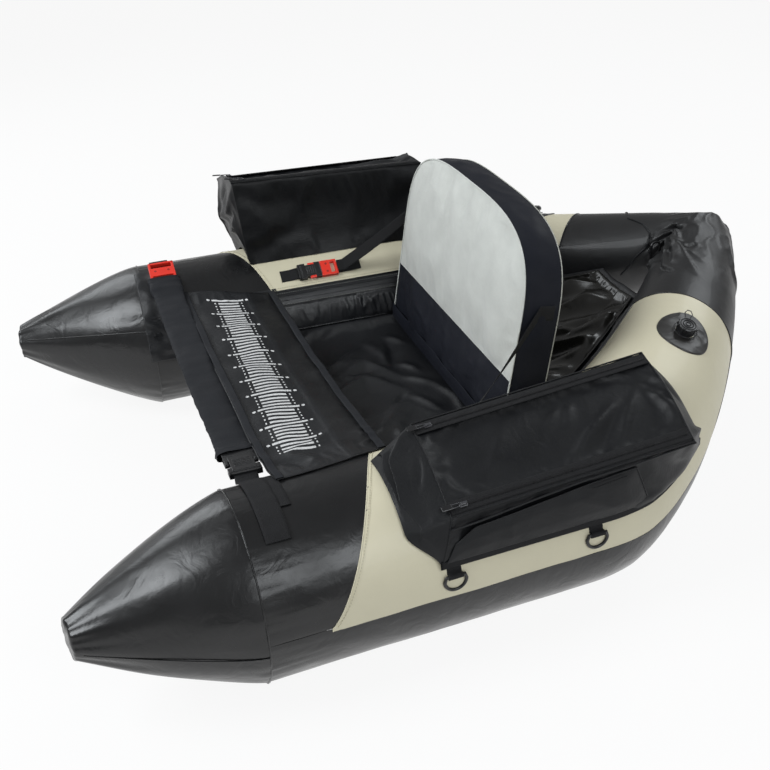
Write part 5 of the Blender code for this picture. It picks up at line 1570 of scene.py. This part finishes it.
def build_pocket(side, name):
    """A pocket: its skin from foot to hem, its two ends, its welts, bag and binding."""
    marks = [k / POCKET_ROUND for k in POCKET_EDGES.values()]
    columns = [pocket_section(side, u)[0] for u in span(0.0, 1.0, 61)]
    centre = sum((p for c in columns for p in c), Vector()) / (61 * (POCKET_ROUND + 1))

    def skin(i, j):
        p = columns[j][i]
        a, b = i / POCKET_ROUND, j / 60
        rim = min(a, 1 - a, b, 1 - b, *(abs(a - m) for m in marks))
        slack = 0.006 * wave(p, 8.0, side * 3.0) + 0.003 * (ridge(p, 9.0, side * 7.0) - 0.4) - 0.001
        return p + (p - centre).normalized() * slack * smooth(0.0, 0.12, rim)

    def pins(a, b):
        inset = 0.055 if marks[0] <= a <= marks[1] else 0.012
        return min(abs(a - m) for m in marks) < inset or edge_pins(0.012)(a, b)

    rows = grid(range(POCKET_ROUND + 1), range(61), skin)
    cloth = grid_piece(name + "_skin", rows, "pocket_nylon", [name], pins=pins)
    settle(cloth, grow=0.03, cap=0.010, bend=0.03, gravity=0.3)
    inner, outer = (p.x for p in pocket_tops(side)[::2])
    folds = ready_folds(LID_FOLDS)
    for vert in cloth.data.vertices:
        inside = min(abs(vert.co.x) - abs(inner), abs(outer) - abs(vert.co.x))
        rise = fold_height(Vector((abs(vert.co.x), vert.co.y)), folds)
        vert.co.z += smooth(0.008, 0.030, inside) * rise
    finish_cloth(cloth)
    build_pocket_end(side, f"{name}_front", 0.0, -1.0, ready_folds(END_FOLDS))
    build_pocket_end(side, f"{name}_rear", 1.0, 1.0, ready_folds(END_FOLDS[2:]))
    for label, mark in POCKET_EDGES.items():
        tube_piece(f"{name}_{label}_welt", [c[mark] for c in columns], 0.0013, "pocket_nylon")
    build_outer_bag(side, name, columns)
    outward = Vector((side, 0.0, 0.2)).normalized()
    places = [(c[-1] + UP * 0.004, UP, outward) for c in columns]
    ribbon(name + "_binding", places, 0.012, 0.0026, "webbing", slot="black_nylon")


def build_pocket_end(side, name, u, way, folds):
    """The panel that closes a pocket's front or rear, and the welt round it."""
    top, share = pocket_section(side, u)
    heel = POCKETS[side][4]
    low = []
    for k in range(POCKET_ROUND + 1):
        angle = mix(heel, POCKET_HEM_ANGLE, k / POCKET_ROUND)
        lift = 0.0026 + 0.004 * k / POCKET_ROUND
        low.append(hull_point(share + hem_tuck(u, angle), angle, lift, side))

    def skin(v, k):
        spot = low[k].lerp(top[k], v)
        bulge = math.sin(math.pi * v) * math.sin(math.pi * k / POCKET_ROUND)
        fold = fold_height(Vector((k / POCKET_ROUND, v)), folds)
        fold += 0.003 * wave(spot, 20.0, 5.0 + side)
        return spot + Vector((0.0, way, 0.0)) * (0.012 * bulge + fold * min(1.0, 3 * bulge))

    rows = grid(span(0.0, 1.0, 41), range(POCKET_ROUND + 1), skin)
    panel = grid_piece(name, rows, "pocket_nylon", pins=edge_pins(0.01))
    settle(panel, grow=0.05, cap=0.010, bend=0.01)
    finish_cloth(panel)
    tube_piece(name + "_welt", top[POCKET_PARTS[0] :], 0.0013, "pocket_nylon")


def build_outer_bag(side, name, columns):
    """The flat bag sewn on the pocket's outer side, the flap's lip over it and its short slit."""
    drop, deep = POCKET_EDGES["outer"], POCKET_PARTS[2]

    def on_side(u, v, out):
        """A place on the outer side, u along it and v from the lid's edge down to the hem."""
        spot = u * (len(columns) - 1)
        low = min(int(spot), len(columns) - 2)
        level = drop + v * deep
        k = min(int(level), drop + deep - 1)
        near, far = (c[k].lerp(c[k + 1], level - k) for c in columns[low : low + 2])
        return near.lerp(far, spot - low) + Vector((side * out, 0.0, 0.0))

    first, last = BAG_SPAN
    rows = []
    for u in span(first, last, 70):
        top = mix(0.30, 0.13, smooth(0.05, 0.70, u)) + 0.22 * smooth(0.13, first, u)
        row = []
        for v in span(top, BAG_FOOT, 22):
            rim = min((v - top) / 0.2, (BAG_FOOT - v) / 0.2, (u - first) / 0.06, (last - u) / 0.06)
            place = on_side(u, v, 0.0)
            crease = 0.0030 * wave(place, 16.0, 2.0) + 0.0030 * ridge(place, 11.0, 5.0)
            row.append(on_side(u, v, 0.0016 + clamp(rim) * (0.0024 + crease)))
        rows.append(row)
    bag = grid_piece(name + "_bag", rows, "pocket_nylon")
    finish_cloth(bag, 0.0010)
    edge = [r[0] for r in rows] + rows[-1][1:]
    tube_piece(name + "_bag_welt", edge, 0.0011, "pocket_nylon")
    lip = []
    for u in span(0.0, 1.0, 90):
        out = 0.0030 + 0.0012 * wave(Vector((u, 0, 0)), 5.0)
        lip.append(on_side(u, mix(0.20, 0.05, smooth(0.0, 0.6, u)), out))
    tube_piece(name + "_lip", lip, 0.0016, "pocket_nylon")
    slit = [on_side(u, mix(0.20, 0.17, (u - 0.56) / 0.13), 0.0075) for u in span(0.56, 0.69, 20)]
    tube_piece(name + "_slit", slit, 0.0010, "webbing", slot="black_nylon")


def build_ring_tab(side, end):
    """A ring's bent wire, and the webbing loop that holds it under the pocket's binding."""
    share = tube_share(RING_Y[end])
    way = axis_direction(share)
    outward = Vector((side * way.y, -way.x, 0.0))
    seat = hull_point(share, RING_ANGLE, 0.0049, side)
    wide = UP.cross(outward).normalized()
    places = []
    for angle in span(RING_ANGLE + 6.5, RING_ANGLE + 1.5, 6):
        point, _, square = strap_place(hull_frame(share, angle, 0.0014, side))
        places.append((point, wide, square))
    for turn in span(math.radians(80), math.radians(-165), 26):
        ray = outward * math.cos(turn) + UP * math.sin(turn)
        places.append((seat + ray * 0.0037, wide, ray))
    wire = [seat + wide * y for y in span(-0.0140, 0.0140, 8)]
    for turn in span(0.0, math.pi, 20):
        drop = 0.0075 + 0.0160 * math.sin(turn)
        wire.append(seat + wide * (0.0165 * math.cos(turn)) - UP * drop)
    ring = f"{NAMES[side]}_{end}_ring"
    tube_piece(ring + "_wire", wire, 0.0026, "black_plastic", [ring], ring, cyclic=True, sides=4)
    ribbon(ring + "_loop", places, 0.022, 0.0013, "webbing", [ring + "_tab"])


def zip_line(side, edge):
    """The two ends of a zip on the lid, and the lid's outward direction there."""
    inner, outer = pocket_tops(side)[:2], pocket_tops(side)[2:]
    crown = UP * POCKET_CROWN
    crest = [(a + b) / 2 + crown for a, b in zip(inner, outer)]
    ends = inner if edge == "inner" else outer
    share = ZIP_INSET / (crest[0] - ends[0]).length
    first, last = (a.lerp(b, share) for a, b in zip(ends, crest))
    return first, last, facing((last - first).cross(crest[0] - ends[0]).normalized(), UP)


def build_zip(side, edge):
    """A zip's tape, its coil and its slider."""
    name = f"{NAMES[side]}_{edge}"
    first, last, outward = zip_line(side, edge)
    along = (last - first).normalized()
    wide = outward.cross(along)
    line = [first.lerp(last, u) + outward * 0.0010 for u in span(0.004, 0.996, 60)]
    places = [(p, wide, outward) for p in line]
    ribbon(name + "_zip_tape", places, 0.020, 0.0010, "webbing", slot="black_nylon")
    half = Vector((0.00055, 0.0017, 0.0006))
    boxes = []
    ends = [first.lerp(last, 0.01), first.lerp(last, 0.99)]
    for k, (place, _) in enumerate(spaced(ends, 0.0016)):
        shifted = place + outward * 0.0018 + wide * (0.0005 * (1 if k % 2 else -1))
        boxes.append((-half, half, frame_at(shifted, along, wide, outward)))
    boxes_piece(name + "_zip_coil", boxes, "black_plastic")
    here = frame_at(first + along * 0.022 + outward * 0.0012, along, wide, outward)
    build_slider(name + "_slider", here)


def build_slider(name, here):
    """A zip's slider: its body, the bridge and the pull that hangs forward from it."""
    boxes = (
        ((-0.006, -0.0040, 0.0012), (0.006, 0.0040, 0.0026), here),
        ((-0.0045, -0.0013, 0.0024), (0.0040, 0.0013, 0.0046), here),
    )
    boxes_piece(name + "_body", boxes, "slider_metal", [name], name, bevel=0.0006)
    lean = Matrix.Translation((-0.003, 0.0, 0.0040)) @ Matrix.Rotation(math.radians(3), 4, "Y")
    lean = here @ lean
    bends = ((0.0, -0.0024), (-0.019, -0.0030), (-0.022, 0.0), (-0.019, 0.0030), (0.0, 0.0024))
    wire = [lean @ Vector((x, y, 0.0)) for x, y in bends]
    tube_piece(name + "_pull_wire", wire, 0.0008, "slider_metal", body=name, cyclic=True)
    grip = [((-0.030, -0.0042, -0.0011), (-0.014, 0.0042, 0.0013), lean)]
    boxes_piece(name + "_pull_grip", grip, "black_plastic", body=name, bevel=0.0010)


class FLOATTUBE_OT_apron(bpy.types.Operator):
    """Builds the apron with its printed scale"""

    bl_idname = "float_tube.apron"
    bl_label = "Apron"

    def execute(self, context):
        build_apron()
        return {"FINISHED"}


def build_apron():
    """The apron between the pontoons' inner seams, and its two hems."""
    front, rear = APRON_Y

    def skin(y, u):
        back = smooth(front, rear, y)
        low = hull_point(tube_share(y), mix(126.0, DECK_EDGE, back), 0.0030, RIGHT)
        high = hull_point(tube_share(y), mix(104.0, 112.0, back), 0.0030, LEFT)
        place = low.lerp(high, u)
        place.y += (1 - back) * 0.005 * smooth(0.85, 1.0, u)
        place.z -= (1 - back) * 0.0040 * smooth(0.55, 0.80, u) * smooth(1.0, 0.92, u)
        inside = 4 * u * (1 - u)
        v = (y - front) / (rear - front)
        place.z -= APRON_SAG * inside
        place.z += 0.0012 * smooth(0.61, 0.64, v) + inside * 0.005 * wave(place, 9.0, 4.0)
        place.z += 0.0024 * wave(place, 26.0, 1.0) * smooth(0.0, 0.05, inside)
        pulled = math.exp(-(((u - 0.93) / 0.08) ** 2)) * smooth(0.0, 0.3, inside)
        place.z += 0.007 * pulled * (ridge(Vector((u * 3.0, v * 0.35, 0.0)), 5.0, 2.0) - 0.5)
        return place

    def ends(a, b):
        return min(b, 1 - b) < 0.015

    rows = grid(span(front - APRON_REACH, rear, 45), span(0.0, 1.0, 131), skin)
    apron = grid_piece("apron_cloth", rows, "ruler_cloth", ["apron"], None, pins=ends)
    settle(apron, grow=0.012, cap=0.006, bend=0.06, gravity=0.05)
    finish_cloth(apron, 0.0010)
    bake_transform(apron)
    flat_size(rows)
    along = Vector((0.0, 1.0, 0.0))
    for label, edge, shift in (("front", rows[0], 0.006), ("rear", rows[-1], -0.006)):
        places = [(p + Vector((0.0, shift, 0.0006)), along, UP) for p in edge]
        hem = ribbon(f"apron_{label}_hem", places, 0.012, 0.0034, "sleeve_nylon", body=None)
        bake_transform(hem)


class FLOATTUBE_OT_stage(bpy.types.Operator):
    """Builds the floor, the soft lights and the camera at the photograph's angle"""

    bl_idname = "float_tube.stage"
    bl_label = "Stage"

    def execute(self, context):
        build_floor()
        build_backdrop()
        build_lights()
        build_camera()
        context.scene.view_settings.view_transform = "Standard"
        return {"FINISHED"}


WHITE = (1.0, 1.0, 1.0, 1.0)
WORLD_LIGHT = 0.24
WORLD_GLOSS = 0.08
FLOOR_WHITE = 0.91


def seen_by(tree):
    """Whether a camera, glossy or transmission ray looks."""
    path = add_node(tree, "LightPath").outputs
    return [Signal(path[f"Is {kind} Ray"]) for kind in ("Camera", "Glossy", "Transmission")]


def build_floor():
    """A pale floor that the camera and reflections see as white, and that keeps the shadow."""
    bm = bmesh.new()
    bmesh.ops.create_grid(bm, x_segments=1, y_segments=1, size=30.0)
    floor = new_object("floor", new_mesh("floor", bm))
    floor.location.z = -0.0005
    made, tree, shader = start_material("floor_paper", (0.82, 0.82, 0.82), 0.9)
    stack_bumps(tree, shader, (patches(tree, 300.0), 0.05, 0.0005))
    camera, glossy, through = seen_by(tree)
    share = camera.largest(glossy).largest(through) * FLOOR_WHITE
    white = add_node(tree, "Emission", {"Color": WHITE, "Strength": 1.0})
    inputs = {0: share.socket, 1: shader.outputs[0], 2: white.outputs[0]}
    surface = add_node(tree, "MixShader", inputs).outputs[0]
    set_inputs(tree.nodes["Material Output"], {"Surface": surface})
    floor.data.materials.append(made)


def build_backdrop():
    """A white backdrop that lights the object only weakly."""
    world = bpy.data.worlds.new("studio")
    bpy.context.scene.world = world
    world.use_nodes = True
    camera, glossy, through = seen_by(world.node_tree)
    seen = camera.largest(through).largest(glossy * WORLD_GLOSS)
    strength = seen * (1.0 - WORLD_LIGHT) + WORLD_LIGHT
    backdrop = world.node_tree.nodes["Background"]
    set_inputs(backdrop, {"Color": WHITE, "Strength": strength.socket})


def build_lights():
    """Broad soft lamps in front and at the sides, and a weaker one behind."""
    lamps = (
        ("key", (0.2, -2.3, 2.5), 1.5, 66.0),
        ("side", (2.6, 0.4, 1.9), 1.3, 24.0),
        ("fill", (-2.4, -1.2, 1.7), 1.4, 20.0),
        ("back", (-0.7, 2.4, 2.2), 1.4, 26.0),
    )
    for name, place, size, power in lamps:
        data = bpy.data.lights.new(name, "AREA")
        data.size = size
        data.energy = power
        data.color = (0.93, 0.97, 1.0)
        made = new_object(name, data)
        made.location = place
        aim = Vector((0.0, 0.0, 0.15)) - Vector(place)
        made.rotation_euler = aim.to_track_quat("-Z", "Y").to_euler()


CAMERA_PLACE = (1.7233, -0.5855, 1.1971)
CAMERA_AXES = (
    (0.32667, 0.94375, -0.05112),
    (-0.45723, 0.20514, 0.86537),
    (0.82718, -0.25932, 0.49853),
)
CAMERA_LENS = 53.42


def build_camera():
    data = bpy.data.cameras.new("camera")
    data.lens = CAMERA_LENS
    data.sensor_width = 36.0
    made = new_object("camera", data)
    made.matrix_world = frame_at(CAMERA_PLACE, *CAMERA_AXES)
    bpy.context.scene.camera = made


class FLOATTUBE_PT_panel(bpy.types.Panel):
    """Lists the builders of the float tube's pieces"""

    bl_label = "Float Tube"
    bl_idname = "FLOATTUBE_PT_panel"
    bl_space_type = "VIEW_3D"
    bl_region_type = "UI"
    bl_category = "Float Tube"

    def draw(self, context):
        for group in (context.scene.float_tube_colours, context.scene.float_tube_sizes):
            for key in group.bl_rna.properties.keys():
                if key not in {"rna_type", "name"}:
                    self.layout.prop(group, key)
        for operator in OPERATORS:
            self.layout.operator(operator.bl_idname)


OPERATORS = (
    FLOATTUBE_OT_pontoons,
    FLOATTUBE_OT_seat,
    FLOATTUBE_OT_backrest,
    FLOATTUBE_OT_straps,
    FLOATTUBE_OT_pockets,
    FLOATTUBE_OT_apron,
    FLOATTUBE_OT_stage,
)
CLASSES = (FloatTubeColours, FloatTubeSizes, *OPERATORS, FLOATTUBE_PT_panel)


def register():
    for cls in CLASSES:
        bpy.utils.register_class(cls)
    bpy.types.Scene.float_tube_colours = PointerProperty(type=FloatTubeColours)
    bpy.types.Scene.float_tube_sizes = PointerProperty(type=FloatTubeSizes)


def unregister():
    del bpy.types.Scene.float_tube_colours
    del bpy.types.Scene.float_tube_sizes
    for cls in reversed(CLASSES):
        bpy.utils.unregister_class(cls)


HARDWARE = (
    ("buckle", "socket", "tongue", "valve_base", "valve_cap", "tether")
    + ("ring", "slider", "pull", "tab", "tail", "patch")
)


def dress_hardware():
    """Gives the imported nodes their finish, and the small solid parts softened edges."""
    for name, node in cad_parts.items():
        finish = node.data.materials[0].name.split(".")[0] if node.data.materials else ""
        if finish in MATERIALS:
            node.data.materials[0] = MATERIALS[finish]
        if any(word in name for word in HARDWARE):
            edge = add_modifier(node, "edges", "BEVEL", width=0.0006, segments=2)
            edge.limit_method = "ANGLE"
            edge.angle_limit = math.radians(40)


def main():
    register()
    make_materials(bpy.context.scene.float_tube_colours)
    dress_hardware()
    bpy.ops.float_tube.pontoons()
    bpy.ops.float_tube.seat()
    bpy.ops.float_tube.backrest()
    bpy.ops.float_tube.straps()
    bpy.ops.float_tube.pockets()
    bpy.ops.float_tube.apron()
    bpy.ops.float_tube.stage()


if __name__ == "__main__":
    main()
